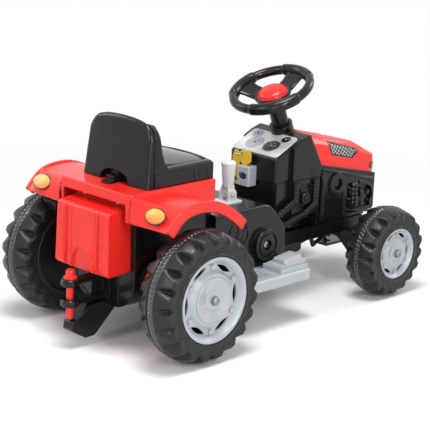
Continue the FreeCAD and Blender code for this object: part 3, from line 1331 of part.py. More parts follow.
def tie_rod():
    bar = block(-KING_X, KING_X, TIE_Y - TIE_HALF, TIE_Y + TIE_HALF, TIE_LOW, TIE_TOP)
    end = rod_z(KING_X, TIE_Y, TIE_LOW, TIE_TOP, TIE_HALF)
    foot = crank_foot().y
    near = min(foot - TIE_TAB, TIE_Y)
    far = max(foot + TIE_TAB, TIE_Y)
    tab = block(-TIE_TAB, TIE_TAB, near, far, TIE_LOW, TIE_TOP)
    half, reach = TIE_SLOT
    slot = plan(corners(-half, half, foot - reach, foot + reach), half - 2 * PAST, TIE_LOW - PAST,
                TIE_TOP + PAST)
    left = rod_z(-KING_X, TIE_Y, TIE_LOW - PAST, TIE_TOP + PAST, TIE_PIN_R + RUN_FIT)
    right = rod_z(KING_X, TIE_Y, TIE_LOW - PAST, TIE_TOP + PAST, TIE_PIN_R + SEAT_GAP)
    return bar.fuse(both([end]) + [tab]).cut([slot, left, right]).removeSplitter()


def steering_rod():
    low, knee, tip = crank_points()
    top = steered(rod_z(0, 0, -HUB_DEPTH + HUB_FLOOR, -HUB_DEPTH + HUB_FLOOR - PAST, PAST)).CenterOfMass
    arm_r = STEER_ROD_R - RUN_FIT * HUB_FLOOR
    pieces = [rod(low, top, STEER_ROD_R), rod(low, knee, arm_r), rod(knee, tip, STEER_ROD_R - PAST),
              Part.makeSphere(STEER_ROD_R, low), Part.makeSphere(arm_r, knee)]
    return pieces[0].fuse(pieces[1:]).removeSplitter()


def steering_wheel():
    ring = Part.makeTorus(STEER_R, GRIP_R)
    hub = rod_z(0, 0, -HUB_DEPTH, 0, HUB_R)
    hub = softened(hub, SPOKE_FLARE - PAST, lambda c, e: e.Closed and c.z < PAST - HUB_DEPTH)
    spokes = []
    root = HUB_R - HORN_RIM + PAST
    for angle, wide in SPOKES:
        far = wide + SPOKE_FLARE
        spoke = plan([(root, -wide), (STEER_R, -far), (STEER_R, far), (root, wide)], 0, -SPOKE_THICK, 0)
        spoke.rotate(Vector(), Vector(0, 0, 1), angle + STEER_CLOCK)
        spokes.append(spoke)
    pocket = rod_z(0, 0, HUB_FLOOR - HUB_DEPTH, PAST, HORN_R + SEAT_GAP)
    bore = rod_z(0, 0, -HUB_DEPTH - PAST, PAST, STEER_ROD_R + RUN_FIT)
    return steered(ring.fuse([hub] + spokes).cut([pocket, bore]).removeSplitter())


def horn_button():
    floor = HUB_FLOOR - HUB_DEPTH + HORN_TRAVEL + PAST
    dome_r = (HORN_R ** 2 + HORN_RISE ** 2) / (2 * HORN_RISE)
    disc = rod_z(0, 0, floor, HORN_RISE + 2 * PAST, HORN_R)
    body = disc.common(Part.makeSphere(dome_r, Vector(0, 0, HORN_RISE + PAST - dome_r)))
    return steered(body.cut(rod_z(0, 0, floor - PAST, floor + WALL + PAST, HORN_R - WALL)))


def column_tube():
    low = -HUB_DEPTH - COLUMN_LENGTH
    tube = rod_z(0, 0, low, -HUB_DEPTH, COLUMN_R)
    return steered(tube.cut(rod_z(0, 0, low - PAST, PAST - HUB_DEPTH, STEER_ROD_R + RUN_FIT)))


# Footrests, pedal, lever and ignition

PEDAL_PIN_Y = PEDAL_REAR + PEDAL_PIN[0]
PEDAL_PIN_Z = STEP_TOP + PEDAL_PIN[1]
PEDAL_MID_X = (PEDAL_IN + PEDAL_OUT) / 2
SWITCH_Y = PEDAL_FRONT - SWITCH_BACK


def footrest():
    curve = STEP_CORNER_R
    body = plan(corners(HUMP_HALF, STEP_OUT, STEP_REAR, STEP_FRONT), [0, curve, curve, 0],
                STEP_TOP - STEP_DEPTH, STEP_TOP)
    body = softened(body, STEP_EDGE, lambda c, e: abs(c.z - STEP_TOP) < 0.01 and c.x > HUMP_HALF + PAST)
    inner = corners(HUMP_HALF + WALL, STEP_OUT - WALL, STEP_REAR + WALL, STEP_FRONT - WALL)
    hollow = plan(inner, [0, curve - WALL, curve - WALL, 0], STEP_TOP - STEP_DEPTH - PAST, STEP_TOP - WALL)
    treads = []
    for i in range(TREADS):
        y = STEP_REAR + TREAD_EDGE + TREAD_PITCH * i
        treads.append(block(HUMP_HALF + TREAD_EDGE, STEP_OUT - TREAD_EDGE, y, y + TREAD_WIDTH,
                            STEP_TOP - PAST, STEP_TOP + TREAD_RISE))
    return body.cut(hollow).fuse(treads)


def footrest_right():
    edge = PEDAL_FRAME_WALL
    gap = PEDAL_SIDE
    walls = plan(corners(PEDAL_IN - edge, PEDAL_OUT + edge, PEDAL_REAR - edge - PAST,
                         PEDAL_FRONT + edge + PAST), edge, STEP_TOP - PAST, STEP_TOP + PEDAL_FRAME)
    well = block(PEDAL_IN - gap, PEDAL_OUT + gap, PEDAL_REAR - gap, PEDAL_FRONT + PAST, STEP_TOP,
                 STEP_TOP + 2 * PEDAL_FRAME)
    pin = rod_x(PEDAL_IN - edge - PAST, PEDAL_OUT + edge + PAST, PEDAL_PIN_Y, PEDAL_PIN_Z,
                PEDAL_PIN_R + RUN_FIT / 2)
    plunger = rod_z(PEDAL_MID_X, SWITCH_Y, STEP_TOP - STEP_DEPTH, STEP_TOP + PAST, SWITCH_R + SEAT_GAP)
    return footrest().fuse(walls.cut(well)).cut([pin, plunger]).removeSplitter()


def footrest_left():
    return mirrored(footrest())


def pedal():
    low = STEP_TOP + PAST
    top = low + PEDAL_FRAME + PAST
    lift = PEDAL_FRAME
    outline = [(PEDAL_REAR, low + 2), (PEDAL_REAR, top), (PEDAL_FRONT, top + lift),
               (PEDAL_FRONT, low + lift), (PEDAL_REAR + SWITCH_BACK, low)]
    body = side(outline, [3, 3, 4, 2, 6], PEDAL_IN, PEDAL_OUT)
    ribs = []
    for i in range(PEDAL_RIBS):
        y = PEDAL_REAR + PEDAL_PIN[0] * 2 + PEDAL_RIB_PITCH * i
        z = top + (y - PEDAL_REAR) * lift / PEDAL_LENGTH
        ribs.append(block(PEDAL_IN + PEDAL_RIB, PEDAL_OUT - PEDAL_RIB, y, y + PEDAL_RIB, z - 2, z + 2))
    bore = rod_x(PEDAL_IN - PAST, PEDAL_OUT + PAST, PEDAL_PIN_Y, PEDAL_PIN_Z, PEDAL_PIN_R + RUN_FIT)
    return body.fuse(ribs).cut(bore).removeSplitter()


def pedal_pin():
    edge = PEDAL_FRAME_WALL
    return rod_x(PEDAL_IN - edge, PEDAL_OUT + edge, PEDAL_PIN_Y, PEDAL_PIN_Z, PEDAL_PIN_R)


def pedal_switch():
    half, reach, depth = SWITCH_CASE
    top = STEP_TOP - WALL
    case = block(PEDAL_MID_X - half, PEDAL_MID_X + half, SWITCH_Y - reach, SWITCH_Y + reach, top - depth,
                 top)
    return case.fuse(rod_z(PEDAL_MID_X, SWITCH_Y, top - PAST, STEP_TOP + PAST - SEAT_GAP, SWITCH_R))


def lever_bracket():
    x0 = LEVER_X - CHEEK_GAP / 2
    x1 = LEVER_X + CHEEK_GAP / 2
    wide, half = LEVER_BASE
    base = plan(corners(x0 - wide, x1 + wide, LEVER_Y - half, LEVER_Y + half), 6, HUMP_TOP,
                HUMP_TOP + CHEEK_THICK)
    cheeks = []
    for x in (x0 - CHEEK_THICK, x1):
        foot = block(x, x + CHEEK_THICK, LEVER_Y - CHEEK_R, LEVER_Y + CHEEK_R, HUMP_TOP + PAST, LEVER_Z)
        cheeks.append(foot.fuse(rod_x(x, x + CHEEK_THICK, LEVER_Y, LEVER_Z, CHEEK_R)))
    hole = rod_x(x0 - wide, x1 + wide, LEVER_Y, LEVER_Z, LEVER_PIN_R + RUN_FIT / 2)
    return base.fuse(cheeks).cut(hole).removeSplitter()


def lever_pin():
    end = CHEEK_GAP / 2 + CHEEK_THICK
    shank = rod_x(LEVER_X - end, LEVER_X + end, LEVER_Y, LEVER_Z, LEVER_PIN_R)
    head = rod_x(LEVER_X + end, LEVER_X + end + LEVER_PIN_R, LEVER_Y, LEVER_Z, 2 * LEVER_PIN_R)
    return shank.fuse(head)


def gear_lever():
    half = CHEEK_GAP / 2 - SEAT_GAP
    low = LEVER_Z + CHEEK_R + 2 * PAST
    eye = LEVER_EYE_R
    neck = block(LEVER_X - half, LEVER_X + half, LEVER_Y - eye, LEVER_Y + eye, LEVER_Z, low + WALL)
    knob = rod_x(LEVER_X - half, LEVER_X + half, LEVER_Y, LEVER_Z, eye)
    grip = Part.makeCone(LEVER_FOOT_R, LEVER_R, LEVER_TOP - low, Vector(LEVER_X, LEVER_Y, low))
    grip = softened(grip, LEVER_EDGE, lambda c, e: e.Closed and c.z > LEVER_TOP - PAST)
    bore = rod_x(LEVER_X - CHEEK_GAP, LEVER_X + CHEEK_GAP, LEVER_Y, LEVER_Z, LEVER_PIN_R + RUN_FIT)
    return neck.fuse([knob, grip]).cut(bore).removeSplitter()


def ignition_box():
    x0, x1 = IGNITION_X
    y0 = COWL_REAR - IGNITION_DEPTH
    body = plan(corners(x0, x1, y0, COWL_REAR), [5, 5, 0, 0], IGNITION_LOW, IGNITION_TOP)
    body = softened(body, 2.5, lambda c, e: abs(c.z - IGNITION_TOP) < 0.01 and c.y < COWL_REAR - PAST)
    half_width, half_height, sink = IGNITION_OVAL
    badge = oval(half_width, half_height, WALL)
    badge.Placement = Placement(Vector((x0 + x1) / 2, y0 + sink, (IGNITION_LOW + IGNITION_TOP) / 2),
                                Rotation(Vector(1, 0, 0), 90))
    bore = rod_z(KEY_X, IGNITION_Y, IGNITION_TOP - KEY_DEPTH - 2 * PAST, IGNITION_TOP + PAST,
                 KEY_R + RUN_FIT)
    return body.cut([bore, badge])


def ignition_key():
    low = IGNITION_TOP + SEAT_GAP
    y0 = IGNITION_Y - KEY_THICK / 2
    neck = 2 * KEY_R - PAST
    outline = [(KEY_X - BOW_HALF, low + 8), (KEY_X - neck, low), (KEY_X + neck, low),
               (KEY_X + BOW_HALF, low + 8), (KEY_X + BOW_HALF, low + BOW_HEIGHT),
               (KEY_X - BOW_HALF, low + BOW_HEIGHT)]
    bow = front(outline, [6, 2, 2, 6, 9, 9], y0, y0 + KEY_THICK)
    shank = rod_z(KEY_X, IGNITION_Y, IGNITION_TOP - KEY_DEPTH, IGNITION_TOP + WALL, KEY_R)
    eye = Vector(KEY_HOLE_X, y0 - PAST, KEY_HOLE_Z)
    hole = rod(eye, eye + Vector(0, KEY_THICK + 2 * PAST, 0), BOW_HOLE_R)
    return bow.fuse(shank).cut(hole)


def key_ring():
    spot = Vector(KEY_HOLE_X - KEY_RING_R, IGNITION_Y, KEY_HOLE_Z)
    return Part.makeTorus(KEY_RING_R, KEY_WIRE_R, spot, Vector(0, 0, 1))


def key_tag():
    neck, shoulder = TAG_NECK
    top = KEY_HOLE_Z + neck + PAST
    low = top - TAG_LENGTH
    y0 = IGNITION_Y - TAG_THICK / 2
    body = front([(TAG_X - TAG_HALF, low), (TAG_X + TAG_HALF, low), (TAG_X + TAG_HALF, top - shoulder),
                  (TAG_X + neck, top), (TAG_X - neck, top), (TAG_X - TAG_HALF, top - shoulder)],
                 [9, 9, 4, 4, 4, 4], y0, y0 + TAG_THICK)
    hole_r, rise = TAG_HOLE
    cuts = []
    for z, radius in ((KEY_HOLE_Z, KEY_WIRE_R + SEAT_GAP), (low + rise, hole_r)):
        cuts.append(rod(Vector(TAG_X, y0 - PAST, z), Vector(TAG_X, y0 + TAG_THICK + PAST, z), radius))
    return body.cut(cuts)


rear_tyre = rear_wheel(tyre(REAR_TYRE_R, REAR_TYRE_WIDTH, REAR_RIM_R, REAR_HUB_R, REAR_LUGS))
rear_rim = rear_wheel(rim(REAR_RIM_R, REAR_TYRE_WIDTH, REAR_HUB_R, REAR_AXLE_R))
front_tyre = front_wheel(tyre(FRONT_TYRE_R, FRONT_TYRE_WIDTH, FRONT_RIM_R, FRONT_HUB_R, FRONT_LUGS))
front_rim = front_wheel(rim(FRONT_RIM_R, FRONT_TYRE_WIDTH, FRONT_HUB_R, STUB_R))
rear_nut = cap_nut(REAR_HUB_X + SEAT_GAP, 0, AXLE_Z, REAR_AXLE_R)
front_nut = cap_nut(FRONT_HUB_X + SEAT_GAP, WHEELBASE, FRONT_TYRE_R, STUB_R)
right_knuckle = knuckle()
fender = fender_unit()

NODES = {
    "rear_tyre_right": rear_tyre,
    "rear_tyre_left": mirrored(rear_tyre),
    "rear_rim_right": rear_rim,
    "rear_rim_left": mirrored(rear_rim),
    "front_tyre_right": front_tyre,
    "front_tyre_left": mirrored(front_tyre),
    "front_rim_right": front_rim,
    "front_rim_left": mirrored(front_rim),
    "rear_cap_nuts": pair(rear_nut),
    "front_cap_nut_right": front_nut,
    "front_cap_nut_left": mirrored(front_nut),
    "rear_axle": rear_axle(),
    "output_gear": output_gear(),
    "reduction_gear": reduction_gear(),
    "motor_pinion": motor_pinion(),
    "motor": motor(),
    "gearbox_plate": gearbox_plate(),
    "drive_hub": drive_hub(),
    "battery": battery(),
    "rear_chassis": rear_chassis(),
    "mid_chassis": mid_chassis(),
    "body_screws": Part.makeCompound(boss_screws().Solids + rear_box_screws().Solids),
    "fender_unit": fender,
    "tail_lights": tail_lights(fender),
    "seat_rear_cover": seat_rear_cover(),
    "seat_shell": seat_shell(),
    "hinge_pins": Part.makeCompound([seat_hinge_pin(), pedal_pin(), lever_pin()]),
    "seat_latch": seat_latch(),
    "rear_box": rear_box(),
    "hitch_bracket": hitch_bracket(),
    "tow_hook": tow_hook(),
    "hitch_pin": hitch_pin(),
    "dash_housing": dash_housing(),
    "dashboard_plate": dashboard_plate(),
    "engine_block": engine_block(),
    "engine_hoses": engine_hoses(),
    "front_grille": front_grille(),
    "bonnet": bonnet(),
    "bonnet_grilles": bonnet_grilles(),
    "headlights": headlights(),
    "front_frame": front_frame(),
    "front_axle_beam": front_axle_beam(),
    "king_pins": king_pins(),
    "knuckle_right": right_knuckle,
    "knuckle_left": mirrored(right_knuckle),
    "tie_rod": tie_rod(),
    "steering_rod": steering_rod(),
    "steering_wheel": steering_wheel(),
    "horn_button": horn_button(),
    "column_tube": column_tube(),
    "footrest_right": footrest_right(),
    "footrest_left": footrest_left(),
    "accelerator_pedal": pedal(),
    "gear_lever": gear_lever(),
    "lever_bracket": lever_bracket(),
    "ignition_box": ignition_box(),
    "ignition_key": ignition_key(),
    "key_ring": key_ring(),
    "key_tag": key_tag(),
    "pedal_switch": pedal_switch(),
}

os.makedirs("parts", exist_ok=True)
for name, shape in NODES.items():
    shape.translate(Vector(0, -Y_MIDDLE, 0))
    shape.exportStep("parts/" + name + ".step")
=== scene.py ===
import json
from math import atan, cos, pi, radians, sin

import bmesh
import bpy
from mathutils import Matrix, Vector
from mathutils.bvhtree import BVHTree
from mathutils.geometry import convex_hull_2d


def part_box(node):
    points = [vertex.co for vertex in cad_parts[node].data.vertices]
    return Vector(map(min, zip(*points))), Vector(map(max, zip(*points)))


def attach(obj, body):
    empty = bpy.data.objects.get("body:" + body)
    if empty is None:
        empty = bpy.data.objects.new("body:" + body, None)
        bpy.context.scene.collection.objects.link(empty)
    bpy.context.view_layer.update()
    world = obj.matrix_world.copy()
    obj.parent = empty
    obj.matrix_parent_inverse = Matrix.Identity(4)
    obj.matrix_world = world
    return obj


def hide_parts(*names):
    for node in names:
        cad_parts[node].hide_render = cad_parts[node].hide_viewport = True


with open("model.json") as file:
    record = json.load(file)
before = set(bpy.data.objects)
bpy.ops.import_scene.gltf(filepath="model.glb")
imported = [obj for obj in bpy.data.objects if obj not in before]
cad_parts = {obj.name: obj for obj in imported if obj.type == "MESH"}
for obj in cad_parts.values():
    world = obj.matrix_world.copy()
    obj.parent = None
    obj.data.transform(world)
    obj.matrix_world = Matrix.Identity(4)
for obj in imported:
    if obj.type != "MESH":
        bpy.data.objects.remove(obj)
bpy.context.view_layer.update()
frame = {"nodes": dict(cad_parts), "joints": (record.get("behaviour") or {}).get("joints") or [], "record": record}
nodes = frame["nodes"]
bodyOf = {n: b for b, held in frame["record"]["behaviour"]["bodies"].items() for n in held}
print("frame loaded:", len(nodes), "nodes")

# one dictionary per finish: colours are linear, scales are per metre, depths in metres
redLook = dict(colour=(0.84, 0.026, 0.018), shade=(0.79, 0.021, 0.015), rough=(0.22, 0.30), shine=0.38,
               grain=600, grainDepth=0.00001, mottle=5, edge=0.0014)
blackLook = dict(colour=(0.0085, 0.0092, 0.0098), shade=(0.0062, 0.0068, 0.0073), rough=(0.17, 0.25),
                 shine=0.31, grain=700, grainDepth=0.000012, mottle=8, edge=0.0016)
printLook = dict(shine=0.5, grain=2500, grainDepth=0.00001, mottle=60, edge=0.0002)
finishes = {
    "redPlastic": redLook,
    "softRed": dict(redLook, rough=(0.20, 0.28), shine=0.40, edge=0.0040),
    "blackPlastic": blackLook,
    "softBlack": dict(blackLook, edge=0.0055),
    "hoseBlack": dict(blackLook, rough=(0.20, 0.28), shine=0.33, edge=0.0005),
    "glossBlack": dict(blackLook, rough=(0.09, 0.15), shine=0.80, grainDepth=0.000008, edge=0.0012),
    "bandBlack": dict(colour=(0.030, 0.031, 0.032), shade=(0.022, 0.023, 0.024), rough=(0.14, 0.22),
                      shine=0.80, grain=800, grainDepth=0.00002, mottle=18, edge=0.0002),
    "tyrePlastic": dict(colour=(0.0130, 0.0138, 0.0145), shade=(0.0090, 0.0096, 0.0102), rough=(0.30, 0.42),
                        shine=0.34, grain=800, grainDepth=0.00004, mottle=18, edge=0.0004),
    "silverPlastic": dict(colour=(0.44, 0.475, 0.495), shade=(0.40, 0.435, 0.455), rough=(0.28, 0.38),
                          shine=0.5, grain=2600, grainDepth=0.00002, mottle=12, edge=0.0010, metal=0.12),
    "dashSilver": dict(colour=(0.78, 0.80, 0.815), shade=(0.72, 0.74, 0.755), rough=(0.20, 0.32),
                       shine=0.6, grain=1500, grainDepth=0.00002, mottle=12, edge=0.0012, metal=0.1),
    "paleGrey": dict(colour=(0.66, 0.68, 0.69), shade=(0.61, 0.63, 0.64), rough=(0.28, 0.40),
                     shine=0.45, grain=2000, grainDepth=0.00003, mottle=14, edge=0.0010),
    "yellowPlastic": dict(colour=(0.76, 0.50, 0.012), shade=(0.70, 0.45, 0.010), rough=(0.24, 0.36),
                          shine=0.45, grain=1900, grainDepth=0.00003, mottle=20, edge=0.0008),
    "blackSteel": dict(colour=(0.020, 0.020, 0.021), shade=(0.012, 0.012, 0.013), rough=(0.24, 0.40),
                       shine=0.5, grain=900, grainDepth=0.00003, mottle=40, edge=0.0006, metal=0.35),
    "nylon": dict(colour=(0.70, 0.68, 0.62), shade=(0.62, 0.60, 0.54), rough=(0.36, 0.5),
                  shine=0.4, grain=1500, grainDepth=0.00004, mottle=30, edge=0.0006),
    "batteryCase": dict(colour=(0.028, 0.030, 0.034), shade=(0.020, 0.021, 0.024), rough=(0.40, 0.55),
                        shine=0.4, grain=1300, grainDepth=0.00006, mottle=25, edge=0.0009),
    "darkMesh": dict(colour=(0.008, 0.008, 0.009), shade=(0.005, 0.005, 0.006), rough=(0.30, 0.46),
                     shine=0.4, grain=1800, grainDepth=0.00003, mottle=40, edge=0.0004),
    "gaugeBlack": dict(printLook, colour=(0.010, 0.011, 0.014), shade=(0.007, 0.008, 0.010),
                       rough=(0.16, 0.24)),
    "gaugePale": dict(printLook, colour=(0.42, 0.45, 0.47), shade=(0.38, 0.41, 0.43), rough=(0.24, 0.34)),
    "wireGrey": dict(printLook, colour=(0.46, 0.46, 0.47), shade=(0.38, 0.38, 0.39), rough=(0.30, 0.42)),
    "deepBlue": dict(printLook, colour=(0.012, 0.020, 0.16), shade=(0.009, 0.015, 0.12), rough=(0.14, 0.22),
                     edge=0.0003),
}
mouldLook = dict(patchDetail=4, smearScale=5, smearDetail=3, grainDetail=2, bump=0.6, bevelSamples=6)


def setSockets(node, **values):
    for key, value in values.items():
        node.inputs[key.replace("_", " ")].default_value = value


def addNode(tree, kind, **values):
    made = tree.nodes.new(kind)
    setSockets(made, **values)
    return made


def noiseField(tree, place, scale, detail):
    made = addNode(tree, "ShaderNodeTexNoise", Scale=scale, Detail=detail)
    tree.links.new(place, made.inputs["Vector"])
    return made.outputs["Fac"]


def spread(tree, field, low, high, start=0.3, stop=0.7):
    made = addNode(tree, "ShaderNodeMapRange", From_Min=start, From_Max=stop, To_Min=low, To_Max=high)
    tree.links.new(field, made.inputs["Value"])
    return made.outputs["Result"]


def twoColours(tree, field, first, second):
    made = tree.nodes.new("ShaderNodeMix")
    made.data_type = "RGBA"
    made.inputs[6].default_value = (*first, 1)   # sockets 6 and 7 are the two colours, output 2 the mix
    made.inputs[7].default_value = (*second, 1)
    tree.links.new(field, made.inputs[0])
    return made.outputs[2]


def newPaint(name):
    made = bpy.data.materials.new(name)
    made.use_nodes = True
    tree = made.node_tree
    place = tree.nodes.new("ShaderNodeTexCoord").outputs["Object"]
    return made, tree, tree.nodes["Principled BSDF"], place


def wireUp(tree, shader, tint, rough, height, strength, depth):
    # colour, roughness and bump into the shader; gives the bump
    bump = addNode(tree, "ShaderNodeBump", Strength=strength, Distance=depth)
    for field, socket in ((tint, shader.inputs["Base Color"]), (rough, shader.inputs["Roughness"]),
                          (height, bump.inputs["Height"]), (bump.outputs["Normal"], shader.inputs["Normal"])):
        tree.links.new(field, socket)
    return bump


def mouldedFinish(name, look):
    made, tree, shader, place = newPaint(name)
    patches = spread(tree, noiseField(tree, place, look["mottle"], mouldLook["patchDetail"]), 0, 1)
    smear = noiseField(tree, place, look["mottle"] * mouldLook["smearScale"], mouldLook["smearDetail"])
    grain = noiseField(tree, place, look["grain"], mouldLook["grainDetail"])
    bump = wireUp(tree, shader, twoColours(tree, patches, look["colour"], look["shade"]),
                  spread(tree, smear, *look["rough"]), grain, mouldLook["bump"], look["grainDepth"])
    soft = addNode(tree, "ShaderNodeBevel", Radius=look["edge"])   # moulded edges are never sharp
    soft.samples = mouldLook["bevelSamples"]
    tree.links.new(soft.outputs["Normal"], bump.inputs["Normal"])
    setSockets(shader, Specular_IOR_Level=look["shine"], Metallic=look.get("metal", 0))
    return made


metalLooks = {
    "zincSteel": dict(colour=(0.62, 0.62, 0.61), shade=(0.48, 0.48, 0.48), rough=(0.20, 0.38), brush=2200,
                      depth=0.00002),
    "dullSteel": dict(colour=(0.30, 0.31, 0.32), shade=(0.22, 0.23, 0.24), rough=(0.40, 0.55), brush=1800,
                      depth=0.00003),
}
brushLook = dict(stretch=(0.05, 1, 1), detail=3, cloud=60, bump=0.4)   # brush marks run along x


def plateMetal(name, look):
    made, tree, shader, place = newPaint(name)
    stretch = addNode(tree, "ShaderNodeMapping", Scale=brushLook["stretch"])
    tree.links.new(place, stretch.inputs["Vector"])
    marks = noiseField(tree, stretch.outputs["Vector"], look["brush"], brushLook["detail"])
    cloud = spread(tree, noiseField(tree, place, brushLook["cloud"], brushLook["detail"]), 0, 1)
    wireUp(tree, shader, twoColours(tree, cloud, look["colour"], look["shade"]),
           spread(tree, marks, *look["rough"]), marks, brushLook["bump"], look["depth"])
    setSockets(shader, Metallic=1)
    return made


# low is a lens's colour at its foot, high at its top; the amber lens's lighter top is painted light from above
lensLooks = {
    "amberLens": dict(low=(0.86, 0.20, 0.010), high=(0.95, 0.50, 0.050), reach=(0.278, 0.298), through=0.2,
                      dots=420, coat=0.6, shine=0.5),
    "clearLens": dict(low=(0.030, 0.024, 0.040), high=(0.012, 0.012, 0.018), reach=(0.257, 0.270), through=0,
                      dots=500, coat=0, shine=0.25),
}
prismLook = dict(smear=90, smearDetail=2, rough=(0.05, 0.14), bump=0.3, depth=0.0002)


def lensPlastic(name, look):
    made, tree, shader, place = newPaint(name)
    parts = tree.nodes.new("ShaderNodeSeparateXYZ")
    cells = addNode(tree, "ShaderNodeTexVoronoi", Scale=look["dots"])   # prism dots inside the lens
    for node in (parts, cells):
        tree.links.new(place, node.inputs["Vector"])
    rise = spread(tree, parts.outputs["Z"], 0, 1, *look["reach"])   # colour by height: painted light, the amber lens lighter and yellower at its top as if lit from above and deeper orange at the foot; the clear lens paler at the foot
    smear = noiseField(tree, place, prismLook["smear"], prismLook["smearDetail"])
    wireUp(tree, shader, twoColours(tree, rise, look["low"], look["high"]),
           spread(tree, smear, *prismLook["rough"]), cells.outputs["Distance"], prismLook["bump"],
           prismLook["depth"])
    setSockets(shader, Transmission_Weight=look["through"], Coat_Weight=look["coat"],
               Specular_IOR_Level=look["shine"])
    return made


paint = {name: mouldedFinish(name, look) for name, look in finishes.items()}
paint.update({name: plateMetal(name, look) for name, look in metalLooks.items()})
paint.update({name: lensPlastic(name, look) for name, look in lensLooks.items()})
slotPaint = {
    "red_plastic": "redPlastic", "black_plastic": "blackPlastic", "tyre_plastic": "tyrePlastic",
    "silver_plastic": "silverPlastic", "amber_lens": "amberLens", "clear_lens": "clearLens",
    "dark_mesh": "darkMesh", "yellow_plastic": "yellowPlastic", "steel": "zincSteel", "nylon": "nylon",
    "battery_case": "batteryCase",
}
ownPaint = {   # nodes whose finish differs from their slot's
    "dashboard_plate": "dashSilver", "seat_shell": "softBlack", "dash_housing": "softBlack",
    "engine_hoses": "hoseBlack", "bonnet": "softRed", "fender_unit": "softRed", "rear_box": "softRed",
    "lever_bracket": "paleGrey", "gear_lever": "paleGrey", "tie_rod": "blackSteel",
    "steering_rod": "blackSteel", "knuckle_right": "blackSteel", "knuckle_left": "blackSteel",
    "king_pins": "blackSteel", "rear_cap_nuts": "dullSteel", "front_cap_nut_right": "dullSteel",
    "front_cap_nut_left": "dullSteel", "rear_axle": "dullSteel",
}
slotOf = {s["node"]: s["material_slot"] for s in frame["record"]["subparts"]}
for name, piece in nodes.items():
    piece.data.materials.clear()
    piece.data.materials.append(paint[ownPaint.get(name, slotPaint[slotOf[name]])])
print("finishes set:", len(paint))

toMetres = Matrix.Scale(0.001, 4)   # pieces are drawn in millimetres
gridCrease = radians(34)   # edges sharper than these are shaded as edges
joinCrease = radians(38)
coverCrease = radians(32)


def newObject(name, data):
    made = bpy.data.objects.new(name, data)
    bpy.context.scene.collection.objects.link(made)
    return made


def putPiece(name, mesh, finish, node, stands=False):
    mesh.name = name
    piece = newObject(name, mesh)
    if not mesh.materials:
        mesh.materials.append(paint[finish])
    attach(piece, bodyOf[node])
    if stands:
        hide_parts(node)


def putParts(name, parts, finish, node, place=None, stands=False):
    mesh = joined(parts)
    if place is not None:
        mesh.transform(place)
    putPiece(name, mesh, finish, node, stands)


def boxOf(node):
    # a node's two corners in millimetres
    return [corner * 1000 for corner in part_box(node)]


def turns(count, whole=2 * pi):
    return [whole * i / count for i in range(count)]


def gridMesh(rows, closed=False):
    # rows of points closed round each row, joined to the next row
    around = len(rows[0])
    points = [p for row in rows for p in row]
    faces = []
    for r in range(len(rows) if closed else len(rows) - 1):
        low = r * around
        high = (r + 1) % len(rows) * around
        for i in range(around):
            j = (i + 1) % around
            faces.append((low + i, low + j, high + j, high + i))
    made = bpy.data.meshes.new("part")
    made.from_pydata(points, [], faces)
    made.shade_smooth()
    made.set_sharp_from_angle(angle=gridCrease)
    return made


def joined(meshes):
    tool = bmesh.new()
    for mesh in meshes:
        tool.from_mesh(mesh)
    made = bpy.data.meshes.new("parts")
    tool.to_mesh(made)
    tool.free()
    made.shade_smooth()
    made.set_sharp_from_angle(angle=joinCrease)
    return made


def capEnds(mesh):
    # closes the open ends and turns every face outward
    tool = bmesh.new()
    tool.from_mesh(mesh)
    bmesh.ops.holes_fill(tool, edges=[e for e in tool.edges if e.is_boundary])
    bmesh.ops.recalc_face_normals(tool, faces=tool.faces)
    tool.to_mesh(mesh)
    tool.free()
    return mesh


def solid(rows, closed=False):
    return capEnds(gridMesh(rows, closed))


def turned(profile, around, closed=False):
    # profile is (radius, height) pairs about z
    rows = [[(r * cos(a), r * sin(a), h) for a in turns(around)] for r, h in profile]
    return solid(rows, closed)


def cubes(places):
    tool = bmesh.new()
    for place in places:
        bmesh.ops.create_cube(tool, size=1, matrix=place)
    made = bpy.data.meshes.new("cubes")
    tool.to_mesh(made)
    tool.free()
    return made


def finalMesh(holder):
    return bpy.data.meshes.new_from_object(holder.evaluated_get(bpy.context.evaluated_depsgraph_get()))


def cutAway(mesh, away):
    # the first mesh less the second
    body = newObject("body", mesh)
    cutter = newObject("cutter", away)
    step = body.modifiers.new("cut", "BOOLEAN")
    step.object = cutter
    step.operation = "DIFFERENCE"
    step.use_self = True
    step.solver = "EXACT"
    made = finalMesh(body)
    bpy.data.objects.remove(body)
    bpy.data.objects.remove(cutter)
    return made


def standing(spot, axis, across=(1, 0, 0)):
    # a placing whose z runs along axis and whose x is as near across as it can be; spot in millimetres
    up = Vector(axis).normalized()
    side = (Vector(across) - up * up.dot(Vector(across))).normalized()
    turn = Matrix((side, up.cross(side), up)).transposed().to_4x4()
    return Matrix.Translation(Vector(spot) / 1000) @ turn @ toMetres


def facing(node, way, keep=lambda centre: True, alike=0.85):
    # mean centre in millimetres and mean normal of a node's faces that look along way
    total, spot, normal = 0, Vector(), Vector()
    for face in nodes[node].data.polygons:
        if face.normal.dot(Vector(way).normalized()) > alike and keep(face.center):
            total += face.area
            spot += face.center * face.area
            normal += face.normal * face.area
    return spot / total * 1000, normal.normalized()


def evenOutline(points, count):
    # the closed outline through points, stepped evenly
    ends = points[1:] + points[:1]
    lengths = [(b - a).length for a, b in zip(points, ends)]
    step = sum(lengths) / count
    made, reach, k = [], 0.0, 0
    for i in range(count):
        while reach + lengths[k] < step * i:
            reach += lengths[k]
            k += 1
        made.append(points[k].lerp(ends[k], (step * i - reach) / lengths[k]))
    return made


def hullOutline(flat, count):
    return evenOutline([flat[i] for i in convex_hull_2d(flat)], count)


def drawnIn(points, pull, low, near=0.5):
    # the outline moved inward, its foot at low kept level
    made = []
    reach = max((p.x for p in points if p.y < low + near), default=0) - pull
    for i, spot in enumerate(points):
        if spot.y < low + near:
            made.append(Vector((max(-reach, min(reach, spot.x)), low)))
            continue
        along = (points[(i + 1) % len(points)] - points[i - 1]).normalized()
        made.append(spot + Vector((-along.y, along.x)) * pull)
    return made


